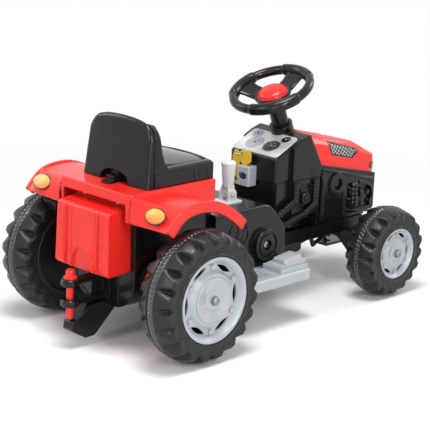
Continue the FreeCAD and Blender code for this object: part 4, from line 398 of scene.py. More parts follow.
def ribAlong(run, width, rise, sunk=0.4):
    # a rounded rib along a run of places and normals on a surface
    rows = []
    for i, (spot, normal) in enumerate(run):
        ahead = run[min(i + 1, len(run) - 1)][0] - run[max(i - 1, 0)][0]
        side = normal.cross(ahead).normalized() * width / 2
        row = [spot - side - normal * sunk]
        for a in (0.35, 0.8, 1.2, 1.57, 1.94, 2.34, 2.79):
            row.append(spot - side * cos(a) + normal * rise * sin(a))
        rows.append(row + [spot + side - normal * sunk])
    return solid(rows)


def softBar(y0, z0, y1, z1, wide, rise, base):
    # a bar lying on the side with a rounded back and low ends
    start, stop = Vector((base, y0, z0)), Vector((base, y1, z1))
    ahead = (stop - start).normalized()
    side = ahead.cross(Vector((1, 0, 0))) * wide / 2
    out = Vector((rise, 0, 0))
    inset = ahead * wide * 0.4
    rows = []
    for spot, share in ((start, 0.35), (start + inset, 1), (stop - inset, 1), (stop, 0.35)):
        section = [spot - side - out * 0.4]
        for a in (0.25, 0.7, 1.2, 1.95, 2.45, 2.9):
            section.append(spot - side * cos(a) + out * share * sin(a) ** 0.7)
        section.append(spot + side - out * 0.4)
        rows.append(section)
    return solid(rows)


def starBars(y, z, near, far, count, clock, wide, rise, base):
    # bars standing round a middle on the side
    made = []
    for k in range(count):
        a = 2 * pi * (k + clock) / count
        c, s = cos(a), sin(a)
        made.append(softBar(y + near * c, z + near * s, y + far * c, z + far * s, wide, rise, base))
    return made


def turnedOut(profile, y, z, base, around=48, closed=False):
    # a turned shape whose axis points out of the side
    mesh = turned(profile, around, closed)
    mesh.transform(Matrix.Translation((base, y, z)) @ Matrix.Rotation(pi / 2, 4, "Y"))
    return mesh


def collar(y, z, inner, outer, rise, base):
    mid = (inner + outer) / 2
    profile = [(inner, -1.0), (inner, rise * 0.6), (inner + 0.8, rise * 0.92), (mid, rise),
               (outer - 0.8, rise * 0.92), (outer, rise * 0.6), (outer, -1.0)]
    return turnedOut(profile, y, z, base, 56, True)


def bothSides(meshes):
    made = list(meshes)
    for mesh in meshes:
        other = mesh.copy()
        other.transform(Matrix.Scale(-1, 4, (1, 0, 0)))
        other.flip_normals()
        made.append(other)
    return made


# tyres: millimetres, with rows across them as shares of each part's width
tyreLooks = {
    "rear": dict(band=7.5, bandRise=1.0, groove=2.2, grooveDepth=2.2, lugDrop=11.0, valley=10.5, reach=0.72,
                 skew=0.32, lugs=20, zigzag=90, knurl=1.7, ridge=1.1, columns=540, bead=6.0, hub=18.0),
    "front": dict(band=6.5, bandRise=0.9, groove=2.0, grooveDepth=1.9, lugDrop=8.5, valley=8.5, reach=0.72,
                  skew=0.32, lugs=18, zigzag=70, knurl=1.5, ridge=0.9, columns=420, bead=5.0, hub=15.0),
}
tyreShape = dict(lip=1.5, lipRise=0.4, wallFoot=2.5, wallTop=2.2, dish=1.2, tuck=1.6, shoulder=2.6,
                 crownStep=1.5, crownCurve=1.5, treadEdge=0.8, weaveLean=0.55, weaveWidth=0.34, bandEdge=0.5,
                 rimGap=0.3, webAround=96, valleyWidth=(0.10, 0.62), valleyFlank=1.12,
                 valleyFloor=(0.93, 0.07))
wallShares = (0.0, 0.05, 0.09, 0.13, 0.18, 0.40, 0.62, 0.80, 0.86, 0.90, 0.95, 0.985)
treadShares = (1.0, 0.985, 0.93, 0.84, 0.74, 0.62, 0.5, 0.38, 0.26, 0.14, 0.05, 0.0)
grooveShares = (0.75, 0.2)
bandShares = (1.0, 0.94, 0.72, 0.48, 0.24)


def valleyDepth(turn, share, look):
    # a wedge-shaped hollow between two lugs, widening from the centre band, level near the sidewall
    pitch = turn * look["lugs"] / (2 * pi)
    off = (pitch - (pitch + 0.5) // 1) * 2
    start, growth = tyreShape["valleyWidth"]
    half = start + growth * share
    side = half * (1 + look["skew"]) if off > 0 else half * (1 - look["skew"])
    wedge = max(0, 1 - abs(off) / side)
    fall = look["lugDrop"] - tyreShape["crownStep"]
    deep = (fall + look["valley"]) * min(1, share / look["reach"]) - fall * share ** tyreShape["crownCurve"]
    level, tilt = tyreShape["valleyFloor"]
    return deep * min(wedge * tyreShape["valleyFlank"], level + tilt * wedge)


def tyreRows(half, look):
    # side, kind, share and drop of each row from the right bead over the tread to the left bead;
    # a bead row has its distance from the middle in place of a share
    rows = [("bead", half - look["bead"], 0), ("bead", half - tyreShape["lip"], tyreShape["lipRise"])]
    rows += [("wall", share, 0) for share in wallShares]
    rows += [("tread", share, 0) for share in treadShares]
    rows += [("groove", share, look["grooveDepth"]) for share in grooveShares]
    rows += [("band", share, 0) for share in bandShares]
    left = [(-1, *row) for row in reversed(rows)]
    return [(1, *row) for row in rows] + [(1, "band", 0.0, 0)] + left


def tyrePoint(row, turn, radius, inner, half, look):
    # a point's distances from the tyre's middle plane and from the axle
    sign, kind, share, drop = row
    shape = tyreShape
    lugTurn = turn if sign == 1 else turn + pi / look["lugs"]   # the left lugs are staggered
    if kind == "bead":
        return share, inner + drop
    if kind == "wall":
        edge = radius - look["lugDrop"] - valleyDepth(lugTurn, 1, look)
        foot = inner + shape["wallFoot"]
        ridge = look["ridge"] if 0.04 < share < 0.10 else 0
        x = half - look["ridge"] + ridge - (shape["dish"] if 0.3 < share < 0.8 else 0)
        x -= shape["tuck"] if share == wallShares[-1] else 0
        return x, foot + (edge - shape["wallTop"] - inner - shape["wallFoot"]) * share
    if kind == "tread":
        start = look["band"] + look["groove"]
        fall = (look["lugDrop"] - shape["crownStep"]) * share ** shape["crownCurve"]
        r = radius - shape["crownStep"] - fall - valleyDepth(lugTurn, share, look)
        r -= shape["treadEdge"] if share == 1 else 0
        return start + (half - shape["shoulder"] - start) * share, r
    if kind == "groove":
        return look["band"] + look["groove"] * share, radius - look["bandRise"] - drop
    phase = (turn * look["zigzag"] / (2 * pi)) % 1
    weave = (abs(phase - 0.5) * 4 - 1) * shape["weaveLean"] - share * sign
    r = radius - (0 if abs(weave) < shape["weaveWidth"] and share < 0.9 else look["knurl"])
    return look["band"] * share, r - (shape["bandEdge"] if share == 1 else 0)


def webProfile(outer, hub):
    # the web inside the wheel: radius and depth from the inner sidewall
    front = [(hub + 0.6, 2), (hub + 7, 1.5), (hub + 10, 8), (outer * 0.62, 9), (outer * 0.65, 5.5),
             (outer * 0.92, 4.5), (outer + 0.2, 7)]
    return front + [(r, x + 4) for r, x in reversed(front)]


def lugTyre(node, look, outward):
    lo, hi = boxOf(node)
    rimLo, rimHi = boxOf(node.replace("tyre", "rim"))
    radius = (hi.z - lo.z) / 2
    inner = (rimHi.z - rimLo.z) / 2 + tyreShape["rimGap"]
    half = (hi.x - lo.x) / 2
    centre = (lo + hi) / 2

    def place(x, r, turn):
        return ((centre.x + outward * x) / 1000, (centre.y + r * cos(turn)) / 1000,
                (centre.z + r * sin(turn)) / 1000)

    order = tyreRows(half, look)
    columns = look["columns"]
    rows = []
    for row in order:
        spots = [(turn, *tyrePoint(row, turn, radius, inner, half, look)) for turn in turns(columns)]
        rows.append([place(row[0] * x, r, turn) for turn, x, r in spots])
    web = [[place(x - half, r, turn) for turn in turns(tyreShape["webAround"])]
           for r, x in webProfile(inner, look["hub"])]
    grids = [gridMesh(rows, closed=True), gridMesh(web, closed=True)]
    mesh = capEnds(joined(grids))
    mesh.materials.append(paint["tyrePlastic"])
    mesh.materials.append(paint["bandBlack"])
    kinds = [row[1] for row in order]
    for r in range(kinds.index("band"), len(kinds) - kinds[::-1].index("band") - 1):
        for face in mesh.polygons[r * columns:(r + 1) * columns]:
            face.material_index = 1
    putPiece(node + "Lugged", mesh, "tyrePlastic", node, stands=True)


for axle, look in tyreLooks.items():
    for side, outward in (("right", 1), ("left", -1)):
        lugTyre(axle + "_tyre_" + side, look, outward)
print("tyres built")

# cross-head screws: millimetres, the recess in shares of the head's width; split is metres from the middle
screwLook = dict(crown=0.30, slot=0.16, arm=0.62, sink=0.75, around=40, split=0.08,
                 hump=dict(size=(7.0, 1.6), sunk=3.4, across=(0, 0.8, 0.6)),
                 box=dict(size=(4.9, 1.2), sunk=1.8, across=(0.7, 0.3, 0.3)))


def screwHead(radius, rise, look):
    top = rise + look["crown"] * radius
    rows = [(radius, 0), (radius, rise * 0.7), (radius * 0.95, rise)]
    rows += [(radius * cos(a), rise + (top - rise) * sin(a)) for a in (0.55, 0.85, 1.15, 1.4)]
    size = Matrix.Diagonal((*(look[key] * 2 * radius for key in ("arm", "slot", "sink")), 1))
    lift = Matrix.Translation((0, 0, top + 0.1 * radius))
    recess = cubes([lift @ Matrix.Rotation(turn, 4, "Z") @ size for turn in (0, pi / 2)])
    return cutAway(turned(rows, look["around"]), recess)


def addScrews(look):
    heads = []

    def setHead(kind, spot, way):
        part = screwHead(*look[kind]["size"], look)
        part.transform(standing(spot - way * look[kind]["sunk"], way, look[kind]["across"]))
        heads.append(part)

    for sign in (1, -1):
        # one in each round boss of the hump, two in the rear box's flange
        out = Vector((sign, 0, 0))
        setHead("hump", facing("body_screws", out, lambda c: c.x * sign > look["split"])[0], out)
        setHead("box", *facing("body_screws", (0, -1, 1), lambda c: 0 < c.x * sign < look["split"]))
    putParts("crossHeadScrews", heads, "zincSteel", "body_screws", stands=True)


addScrews(screwLook)
print("screws set")

# tail lamps: millimetres
tailLampLook = dict(rise=5.5, crown=0.55, rib=0.22, ribs=5, plain=3, steps=24, around=64, margin=0.6,
                    foot=-4.5, edge=-1.0, bezel=1.5, bezelGap=0.4, bezelSunk=-2.2)


def ovalRows(half, shares, around):
    return [[(half[0] * share * cos(a), half[1] * share * sin(a), height) for a in turns(around)]
            for share, height in shares]


def ovalRing(half, thick, around):
    # a round-section trim ring about an oval
    rows = []
    for a in turns(10):
        long, wide = (h + thick * cos(a) for h in half)
        rows.append([(long * cos(b), wide * sin(b), thick * sin(a)) for b in turns(around)])
    return solid(rows, closed=True)


def addTailLamps(look):
    domes, rings = [], []
    margin, gap = look["margin"], look["bezelGap"]
    shares = [(1.0, look["foot"]), (1.0, look["edge"])]
    for k, a in enumerate(turns(look["steps"], pi / 2)):
        wave = look["rib"] * cos(2 * pi * look["ribs"] * cos(a)) if look["plain"] < k else 0
        shares.append((cos(a), look["edge"] + look["rise"] * look["crown"] * sin(a) + wave))
    for sign in (1, -1):
        spot, way = facing("tail_lights", (0, -1, 0.25), lambda c: c.x * sign > 0)
        points = [v.co * 1000 - spot for v in nodes["tail_lights"].data.vertices if v.co.x * sign > 0]
        up = way.cross(Vector((1, 0, 0)))
        half = (max(abs(p.x) for p in points) - margin, max(abs(p.dot(up)) for p in points) - margin)
        place = standing(spot, way)
        dome = solid(ovalRows(half, shares, look["around"]))
        dome.transform(place)
        domes.append(dome)
        ring = ovalRing((half[0] + gap, half[1] + gap), look["bezel"], look["around"])
        ring.transform(place @ Matrix.Translation((0, 0, look["bezelSunk"])))
        rings.append(ring)
    putParts("tailLampLenses", domes, "amberLens", "tail_lights", stands=True)
    putParts("tailLampTrim", rings, "blackPlastic", "tail_lights")


addTailLamps(tailLampLook)
print("tail lamps set")

# dials on the dash: places along x and up the slope from the plate's middle, millimetres
dialLooks = [
    dict(name="speedDial", x=24, up=-6, r=20, dark=True, ticks=25, sweep=250, needle=205, digits=7),
    dict(name="fuelDial", x=40, up=24, r=11.5, dark=True, ticks=9, sweep=180, needle=130, digits=0),
    dict(name="heatDial", x=-24, up=-6, r=20, dark=False, ticks=25, sweep=250, needle=160, digits=7),
    dict(name="chargeDial", x=-40, up=24, r=11.5, dark=False, ticks=9, sweep=180, needle=60, digits=0),
]
# ticks are length, width and start; lengths that grow with a dial are shares of its radius
markLook = dict(every=4, long=(0.17, 0.75, 0.68), short=(0.10, 0.4, 0.75), height=0.4, digit=0.20,
                digitRing=0.52, digitLift=0.45, digitThick=0.12, hand=0.62, handWidth=0.9, handHeight=0.5,
                handLift=0.55, around=64, hubAround=24)


def barMesh(length, width, height, out, turn):
    place = Matrix.Rotation(turn, 4, "Z") @ Matrix.Translation((out + length / 2, 0, 0))
    return cubes([place @ Matrix.Diagonal((length, width, height, 1))])


def digitMesh(word, size, x, y, height):
    letter = bpy.data.curves.new("digit", "FONT")
    letter.body = word
    letter.size = size
    letter.extrude = markLook["digitThick"]
    letter.align_x = "CENTER"
    letter.align_y = "CENTER"
    holder = newObject("digit", letter)
    made = finalMesh(holder)
    bpy.data.objects.remove(holder)
    made.transform(Matrix.Translation((x, y, height)))
    return made


def addDial(look, spot, way):
    up = way.cross(Vector((1, 0, 0)))
    place = standing(spot + Vector((look["x"], 0, 0)) + up * look["up"], way)
    r, mark = look["r"], markLook
    face = turned([(r - 0.6, -0.6), (r - 0.6, 0.25), (0.02, 0.45)], mark["around"])
    edge = [(r - 1.4, -0.4), (r - 1.3, 0.7), (r - 0.7, 1.15), (r + 0.2, 1.1), (r + 0.8, 0.5), (r + 0.9, -0.4)]
    ring = turned(edge, mark["around"], closed=True)
    first, sweep = radians(90 + look["sweep"] / 2), radians(look["sweep"])
    marks = []
    for k in range(look["ticks"]):
        length, width, start = mark["short" if k % mark["every"] else "long"]
        turn = first - sweep * k / (look["ticks"] - 1)
        marks.append(barMesh(r * length, width, mark["height"], r * start, turn))
    for k in range(look["digits"]):
        turn = first - sweep * k / (look["digits"] - 1)
        out = r * mark["digitRing"]
        marks.append(digitMesh(str(k), r * mark["digit"], out * cos(turn), out * sin(turn),
                               mark["digitLift"]))
    turn = first - radians(look["needle"])
    hand = [barMesh(r * mark["hand"], mark["handWidth"], mark["handHeight"], 0, turn),
            turned([(2.0, 0.2), (2.0, 1.1), (1.5, 1.5), (0.05, 1.6)], mark["hubAround"])]
    for mesh in hand:
        mesh.transform(Matrix.Translation((0, 0, mark["handLift"])))
    for mesh in [face, ring] + marks + hand:
        mesh.transform(place)
    dark, pale = ("gaugeBlack", "paleGrey") if look["dark"] else ("gaugePale", "gaugeBlack")
    for kind, parts, finish in (("Face", [face], dark), ("Ring", [ring], "silverPlastic"),
                                ("Marks", marks, pale), ("Hand", hand, pale)):
        putParts(look["name"] + kind, parts, finish, "dashboard_plate")


dashSpot, dashWay = facing("dashboard_plate", (0, -0.42, 0.91))
for look in dialLooks:
    addDial(look, dashSpot, dashWay)
print("dials set")

# bare oval in the ignition box's sunk badge place: millimetres
ovalLook = dict(half=(10.4, 7.4), rise=1.0, sink=1.2, around=56)


def addKeyOval(look):
    lo, hi = boxOf("ignition_box")
    shares = [(1, -0.6), (1, 0.2), (0.94, 0.55), (0.75, 0.8), (0.4, 0.95), (0.05, 1.0)]
    rows = ovalRows(look["half"], [(s, h * look["rise"]) for s, h in shares], look["around"])
    mesh = solid(rows)
    mesh.transform(standing(((lo.x + hi.x) / 2, lo.y + look["sink"], (lo.z + hi.z) / 2), (0, -1, 0)))
    putPiece("keyBoxOval", mesh, "deepBlue", "ignition_box")


addKeyOval(ovalLook)
print("key oval set")

# woven wire over the bonnet's side windows: millimetres; spare and lead start the wires outside the window
wireLook = dict(pitch=12.5, step=1.5, steps=240, width=1.8, height=1.0, over=0.15, way=(0.82, 0.57),
                spare=14, lead=(40, 28), outward=0.55, frame=1.9, frameInset=0.6, framePoints=90)


def sideHit(tree, sign, y, z):
    # place in millimetres and normal where a ray from the side meets the grille
    hit, normal = tree.ray_cast(Vector((sign * 0.2, y / 1000, z / 1000)), Vector((-sign, 0, 0)))[:2]
    return None if hit is None else (hit * 1000, normal)


def wireRuns(tree, start, way, look, sign):
    # follows the grille's face along one diagonal; gives the runs that lie on it
    run, runs = [], []
    for k in range(look["steps"]):
        y, z = (start[i] + way[i] * look["step"] * k for i in (0, 1))
        hit = sideHit(tree, sign, y, z)
        if hit and hit[1].x * sign > look["outward"]:
            run.append(hit)
        elif run:
            runs.append(run)
            run = []
    return [r for r in runs + [run] if len(r) > 2]


def windowFrame(tree, sign, look):
    # a rounded frame along the edge of one window
    corners = nodes["bonnet_grilles"].data.vertices
    flat = [Vector((v.co.y, v.co.z)) * 1000 for v in corners if v.co.x * sign > 0]
    outline = drawnIn(hullOutline(flat, look["framePoints"]), look["frame"] * look["frameInset"], -1)
    rows = []
    for i, spot in enumerate(outline):
        hit = sideHit(tree, sign, spot.x, spot.y)
        if not hit:
            continue
        middle, normal = hit
        along = outline[(i + 1) % len(outline)] - outline[i - 1]
        side = normal.cross(Vector((0, along.x, along.y))).normalized()
        rows.append([middle + (side * cos(a) + normal * sin(a)) * look["frame"] for a in turns(10)])
    return solid(rows, closed=True)


def addWireWindows(look):
    tree = BVHTree.FromObject(nodes["bonnet_grilles"], bpy.context.evaluated_depsgraph_get())
    lo, hi = boxOf("bonnet_grilles")
    count = int((hi.y - lo.y + hi.z - lo.z) / look["pitch"]) + look["spare"]
    wires = []
    for sign in (1, -1):
        for lean in (1, -1):
            way = Vector((look["way"][0], look["way"][1] * lean))
            base = (lo.z if lean > 0 else hi.z) - lean * look["lead"][1]
            for k in range(-look["spare"], count):
                start = (lo.y + k * look["pitch"] - look["lead"][0], base)
                for run in wireRuns(tree, start, way, look, sign):
                    wires.append(ribAlong(run, look["width"], look["height"] + look["over"] * lean))
    frames = [windowFrame(tree, sign, look) for sign in (1, -1)]
    putParts("windowFrames", frames, "blackPlastic", "bonnet_grilles", toMetres)
    putParts("bonnetWire", wires, "wireGrey", "bonnet_grilles", toMetres)


addWireWindows(wireLook)
print("bonnet wire set")

# hand wheel: millimetres in the wheel's own plane, z up its axis; angles from the wheel's right
wheelLook = dict(ring=82.0, grip=12.4, flat=0.94, hub=39.0, pocket=33.4, sink=8.0, hornRise=13.0, around=28,
                 ringSteps=180, hubAround=72, spokeSteps=14, groove=3.4, step=2.3, sleeveStep=2,
                 spokeReach=(5, 4), spokeFlare=2.2, spokeRoot=3.5, spokeDrop=2, spokeClimb=6,
                 spokes=((188, 19, 31), (84, 19, 31), (316, 28, 44)),
                 sleeves=((158, 216), (54, 114), (278, 354)))


def gripSection(look, thick, turn):
    row = []
    for a in turns(look["around"]):
        out = look["ring"] + thick * look["flat"] * cos(a)
        row.append((out * cos(turn), out * sin(turn), thick * sin(a)))
    return row


def spokeMesh(angle, narrow, wide, look):
    # a spoke that widens and climbs to the ring, with a groove along its top
    inside, over = look["spokeReach"]
    rows = []
    for k in range(look["spokeSteps"] + 1):
        s = k / look["spokeSteps"]
        out = look["hub"] - inside + (look["ring"] - look["hub"] + over) * s
        half = narrow + (wide - narrow) * s ** look["spokeFlare"] + look["spokeRoot"] * (1 - s) ** 3
        top = -look["sink"] - look["spokeDrop"] + (look["sink"] + look["spokeClimb"]) * s * s * (3 - 2 * s)
        groove = look["groove"] * min(1, 6 * s) * min(1, 7 * (1 - s))
        section = ((-1, 5.5), (-1, 2), (-0.9, 0.4), (-0.72, 0), (-0.62, groove), (-0.3, groove),
                   (0.3, groove), (0.62, groove), (0.72, 0), (0.9, 0.4), (1, 2), (1, 5.5),
                   (0.78, 9.5), (0.35, 11.5), (-0.35, 11.5), (-0.78, 9.5))
        rows.append([(out, v * half, top - drop) for v, drop in section])
    mesh = solid(rows)
    mesh.transform(Matrix.Rotation(radians(angle), 4, "Z"))
    return mesh


def sleeveMesh(start, stop, look):
    # a thicker stretch of the ring, eased at its ends
    count = int((stop - start) / look["sleeveStep"])
    rows = []
    for k in range(count + 1):
        thinner = {0: look["step"] + 0.1, 1: 0.3}.get(min(k, count - k), 0)
        turn = radians(start + (stop - start) * k / count)
        rows.append(gripSection(look, look["grip"] - thinner, turn))
    return solid(rows)


def addHandWheel(look):
    joint = next(j for j in frame["joints"] if j["name"] == "steering")
    place = standing(Vector(joint["pos_m"]) * 1000, joint["axis"])
    rows = [gripSection(look, look["grip"] - look["step"], turn) for turn in turns(look["ringSteps"])]
    parts = [solid(rows, closed=True)]
    parts += [sleeveMesh(start, stop, look) for start, stop in look["sleeves"]]
    r, p, top = look["hub"], look["pocket"], -look["sink"]
    bowl = [(6.2, -24), (19, -26), (27, -25.5), (34, -22), (38.5, -16), (r + 0.8, top - 4),
            (r + 0.6, top - 1.5), (r - 1, top), (p + 1.2, top), (p, top - 1), (p, top - 7), (6.2, top - 7.5)]
    parts.append(turned(bowl, look["hubAround"], closed=True))
    parts += [spokeMesh(angle, narrow, wide, look) for angle, narrow, wide in look["spokes"]]
    putParts("handWheel", parts, "blackPlastic", "steering_wheel", place, stands=True)
    q, brim = p - 0.5, 0.9
    dome = [(5.0, -3.6), (q, -3.6), (q, -0.4), (q - 0.5, 0.5), (q - 1.6, brim)]
    dome += [((q - 2.2) * cos(a), brim + (look["hornRise"] - brim) * sin(a))
             for a in turns(14, pi / 2)]
    horn = turned([(out, top + rise) for out, rise in dome], look["hubAround"])
    horn.transform(place)
    putPiece("hornDome", horn, "redPlastic", "horn_button", stands=True)


addHandWheel(wheelLook)
print("hand wheel set")

# seat: the arch of its top in metres, the rest in millimetres
crownLook = dict(start=0.360, full=0.430, rise=0.006, drop=0.011, half=0.095)
coverLook = dict(edge=10.0, bulge=3.0, lean=14.0, depth=(20.0, 12.0), groove=1.4, points=150, skirt=60,
                 middleDrop=12, edgeSteps=8, backSteps=10, notch=(40.0, 25.0), notchFoot=4, notchSteps=16,
                 notchReach=(-5, 16))
sittingLook = dict(half=80.0, rearHalf=64.0, rear=-252.0, front=-149.0, cornerRun=40, bow=15.0, edgeZ=350.7,
                   bead=1.2, rise=7.0, middleShift=4, points=120)
# bars on the seat's sides: start and end in y and z, width, rise
sideLook = dict(bars=((-186, 319, -186, 344, 3.0, 1.3), (-152, 319, -152, 344, 3.0, 1.3),
                      (-175, 328, -163, 328, 9.0, 1.2)))


def archTop(mesh, look):
    # the seat's back is drawn up in the middle and down at its corners
    for point in mesh.vertices:
        share = min(1, max(0, (point.co.z - look["start"]) / (look["full"] - look["start"])))
        point.co.z += share * (look["rise"] - look["drop"] * (point.co.x / look["half"]) ** 2)


def addSeatShell(look):
    mesh = nodes["seat_shell"].data.copy()
    archTop(mesh, look)
    putPiece("archedSeatShell", mesh, "softBlack", "seat_shell", stands=True)


def coverBody(look, lo, hi):
    # rows run from the front edge round the rounded rim to the middle of the dished back
    low = lo.z - look["skirt"]   # the foot runs on below and is cut off level
    flat = [Vector((v.co.x, v.co.z)) * 1000 for v in nodes["seat_rear_cover"].data.vertices]
    outline = [p if p.y > lo.z + 0.5 else Vector((p.x, low)) for p in hullOutline(flat, look["points"])]

    def row(pull, behind=None, ahead=None):
        made = []
        for p in drawnIn(outline, pull, low):
            t = (p.y - lo.z) / (hi.z - lo.z)
            rear = lo.y + look["lean"] * t
            deep = look["depth"][0] + (look["depth"][1] - look["depth"][0]) * t
            made.append(Vector((p.x, rear + behind if ahead is None else rear + deep - ahead, p.y)))
        return made

    edge, bulge = look["edge"], look["bulge"]
    rows = [row(look["groove"], ahead=0.3), row(look["groove"], ahead=1.2), row(0, ahead=1.8)]
    for k in range(look["edgeSteps"] + 1):
        a = pi / 2 * k / look["edgeSteps"]
        rows.append(row(edge * (1 - cos(a)), bulge + (edge - bulge) * (1 - sin(a))))
    middle = (lo.z + hi.z) / 2 - look["middleDrop"]
    last = rows[-1]
    for k in range(1, look["backSteps"]):
        s = 1 - k / look["backSteps"]
        made = []
        for p in last:
            z = middle + (p.z - middle) * s
            y = lo.y + look["lean"] * (z - lo.z) / (hi.z - lo.z) + bulge * s * s
            made.append(Vector((p.x * s, y, z)))
        rows.append(made)
    mesh = solid(rows)
    tool = bmesh.new()
    tool.from_mesh(mesh)
    bmesh.ops.bisect_plane(tool, geom=tool.verts[:] + tool.edges[:] + tool.faces[:], plane_co=(0, 0, lo.z),
                           plane_no=(0, 0, 1), clear_inner=True)
    bmesh.ops.holes_fill(tool, edges=[e for e in tool.edges if e.is_boundary])
    bmesh.ops.remove_doubles(tool, verts=tool.verts, dist=0.001)
    bmesh.ops.triangulate(tool, faces=[f for f in tool.faces if len(f.verts) > 4])
    tool.to_mesh(mesh)
    tool.free()
    return capEnds(mesh)


def addSeatCover(look):
    lo, hi = boxOf("seat_rear_cover")
    half, rise = look["notch"]
    foot, count = look["notchFoot"], look["notchSteps"]
    arch = [(-half, -3), (half, -3)]
    for k in range(count + 1):
        a = pi * k / count
        arch.append((half * cos(a), foot + (rise - foot) * sin(a)))
    rows = [[(x, lo.y + y, lo.z + z) for x, z in arch] for y in look["notchReach"]]
    made = cutAway(coverBody(look, lo, hi), solid(rows))
    made.transform(toMetres)
    archTop(made, crownLook)
    made.materials.clear()
    made.shade_smooth()
    made.set_sharp_from_angle(angle=coverCrease)
    putPiece("seatCover", made, "blackPlastic", "seat_rear_cover", stands=True)


def addSittingFace(look):
    # the crowned sitting face inside the pan's rim
    half, rear, front, bow = (look[key] for key in ("half", "rear", "front", "bow"))
    corners = [(-look["rearHalf"], rear), (look["rearHalf"], rear), (half, rear + look["cornerRun"]),
               (half, front)]
    for k in range(1, 12):
        x = half * cos(pi * k / 12)
        corners.append((x, front + bow * (1 - (x / half) ** 2)))
    corners += [(-half, front), (-half, rear + look["cornerRun"])]
    outline = evenOutline([Vector(corner) for corner in corners], look["points"])
    middle = Vector((0, (rear + front) / 2 + look["middleShift"]))
    length = (front + bow - rear) / 2

    def height(p):
        across = max(0, 1 - (p.x / half) ** 2)
        along = max(0, 1 - ((p.y - rear) / length - 1) ** 2)
        return look["edgeZ"] + look["bead"] + (look["rise"] - look["bead"]) * (across * along) ** 0.7

    def shrunk(share):
        return [middle + (q - middle) * share for q in outline]

    rows = [[(p.x, p.y, look["edgeZ"] + lift) for p in shrunk(share)]
            for share, lift in ((1.0, -5.0), (1.0, 0.0), (0.992, look["bead"] * 0.7))]
    for share in (0.978, 0.95, 0.91, 0.86, 0.8, 0.73, 0.65, 0.56, 0.46, 0.35, 0.23, 0.11):
        rows.append([(p.x, p.y, height(p)) for p in shrunk(share)])
    mesh = solid(rows)
    mesh.transform(toMetres)
    putPiece("sittingFace", mesh, "glossBlack", "seat_shell")


def addSeatRelief(look):
    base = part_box("seat_shell")[1].x * 1000
    bars = [softBar(*bar, base) for bar in look["bars"]]
    putParts("seatRelief", bothSides(bars), "blackPlastic", "seat_shell", toMetres)


addSeatShell(crownLook)
addSeatCover(coverLook)
addSittingFace(sittingLook)
addSeatRelief(sideLook)
print("seat set")

# raised work on the engine's sides: millimetres, y forward and z up, x out from the side
reliefLook = dict(
    ring=(266.5, 239.0, 12.5, 25.5, 6.0), eye=(187.0, 277.0, 4.2, 7.2, 1.6), boss=(164.5, 224.0, 13.5, 5.5),
    bars=((223, 176, 223, 256, 5, 3.2), (294, 166, 290, 252, 5, 2.6), (218, 277, 390, 236, 6, 3.0),
          (302, 226, 316, 222, 5, 3.0), (302, 200, 316, 198, 5, 3.0), (304, 174, 390, 160, 5, 2.4)),
    filter=(329.0, 178.0, 236.0, 9.5, 5), filterSunk=0.35, filterAround=40,
    bolts=((352, 212, 6.5, 6), (374, 206, 6.5, 6), (353, 184, 5.5, 32), (384, 182, 5.5, 32)),
    pipe=((343, 233), (358, 231), (372, 226), (383, 218), (388, 206), (389, 194)), pipeR=4.6, pipeSunk=1.5)


def bentPipe(path, radius, base):
    out = Vector((1, 0, 0))
    points = [Vector((base, y, z)) for y, z in path]
    rows = []
    for i, spot in enumerate(points):
        ahead = (points[min(i + 1, len(points) - 1)] - points[max(i - 1, 0)]).normalized()
        side = ahead.cross(out)
        rows.append([spot + (side * cos(a) + out * sin(a)) * radius for a in turns(14)])
    return solid(rows)


def filterCan(y, low, high, r, ribs, look, base):
    # an upright can with ribs round it, half sunk in the side
    tall = high - low
    profile = [(0.1, 0), (r * 0.7, 0), (r * 0.8, 2)]
    step = (tall - 8) / ribs
    for k in range(ribs):
        start = 4 + k * step
        profile += [(r * 0.82, start), (r, start + step * 0.2), (r, start + step * 0.75),
                    (r * 0.82, start + step * 0.95)]
    profile += [(r * 0.6, tall - 2), (0.1, tall)]
    mesh = turned(profile, look["filterAround"])
    mesh.transform(Matrix.Translation((base - r * look["filterSunk"], y, low)))
    return mesh


def addEngineRelief(look):
    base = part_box("engine_block")[1].x * 1000
    parts = [softBar(*bar, base) for bar in look["bars"]]
    parts.append(collar(*look["ring"], base))
    parts.append(collar(*look["eye"], base))
    y, z, r, rise = look["boss"]
    boss = [(r, -1.5), (r, rise * 0.6), (r - 1.5, rise), (r * 0.62, rise), (r * 0.56, rise - 1.6),
            (r * 0.42, rise - 1.6), (r * 0.36, rise + 0.6), (r * 0.2, rise + 1.2), (0.1, rise + 1.3)]
    parts.append(turnedOut(boss, y, z, base))
    parts.append(filterCan(*look["filter"], look, base))
    for y, z, r, around in look["bolts"]:
        bolt = [(r + 1.8, -7), (r + 1.8, -4.4), (r + 1.2, -4), (r, -4), (r, 0.6), (r - 0.8, 1.2), (0.1, 1.4)]
        parts.append(turnedOut(bolt, y, z, base, around))
    parts.append(bentPipe(look["pipe"], look["pipeR"], base - look["pipeSunk"]))
    putParts("engineRelief", bothSides(parts), "blackPlastic", "engine_block", toMetres)


addEngineRelief(reliefLook)
print("engine relief set")

# five-spoked cap on each side of the hump: millimetres
capLook = dict(y=-64.5, z=188.0, base=105.0, outer=30.5, band=6.0, rise=2.6, hub=9.0, hubEdge=1.8,
               spokes=5, clock=0.3, spokeWidth=6.0, spokeRise=2.2, overlap=2)


def addHumpCaps(look):
    y, z, base = look["y"], look["z"], look["base"]
    hub, rise = look["hub"], look["rise"]
    inner = look["outer"] - look["band"]
    parts = [collar(y, z, inner, look["outer"], rise, base)]
    profile = [(hub, -1), (hub, look["hubEdge"]), (hub - 1, rise), (0.1, rise + 0.4)]
    parts.append(turnedOut(profile, y, z, base))
    parts += starBars(y, z, hub - look["overlap"], inner + look["overlap"], look["spokes"], look["clock"],
                      look["spokeWidth"], look["spokeRise"], base)
    putParts("humpCaps", bothSides(parts), "blackPlastic", "mid_chassis", toMetres)


addHumpCaps(capLook)
print("hump caps set")

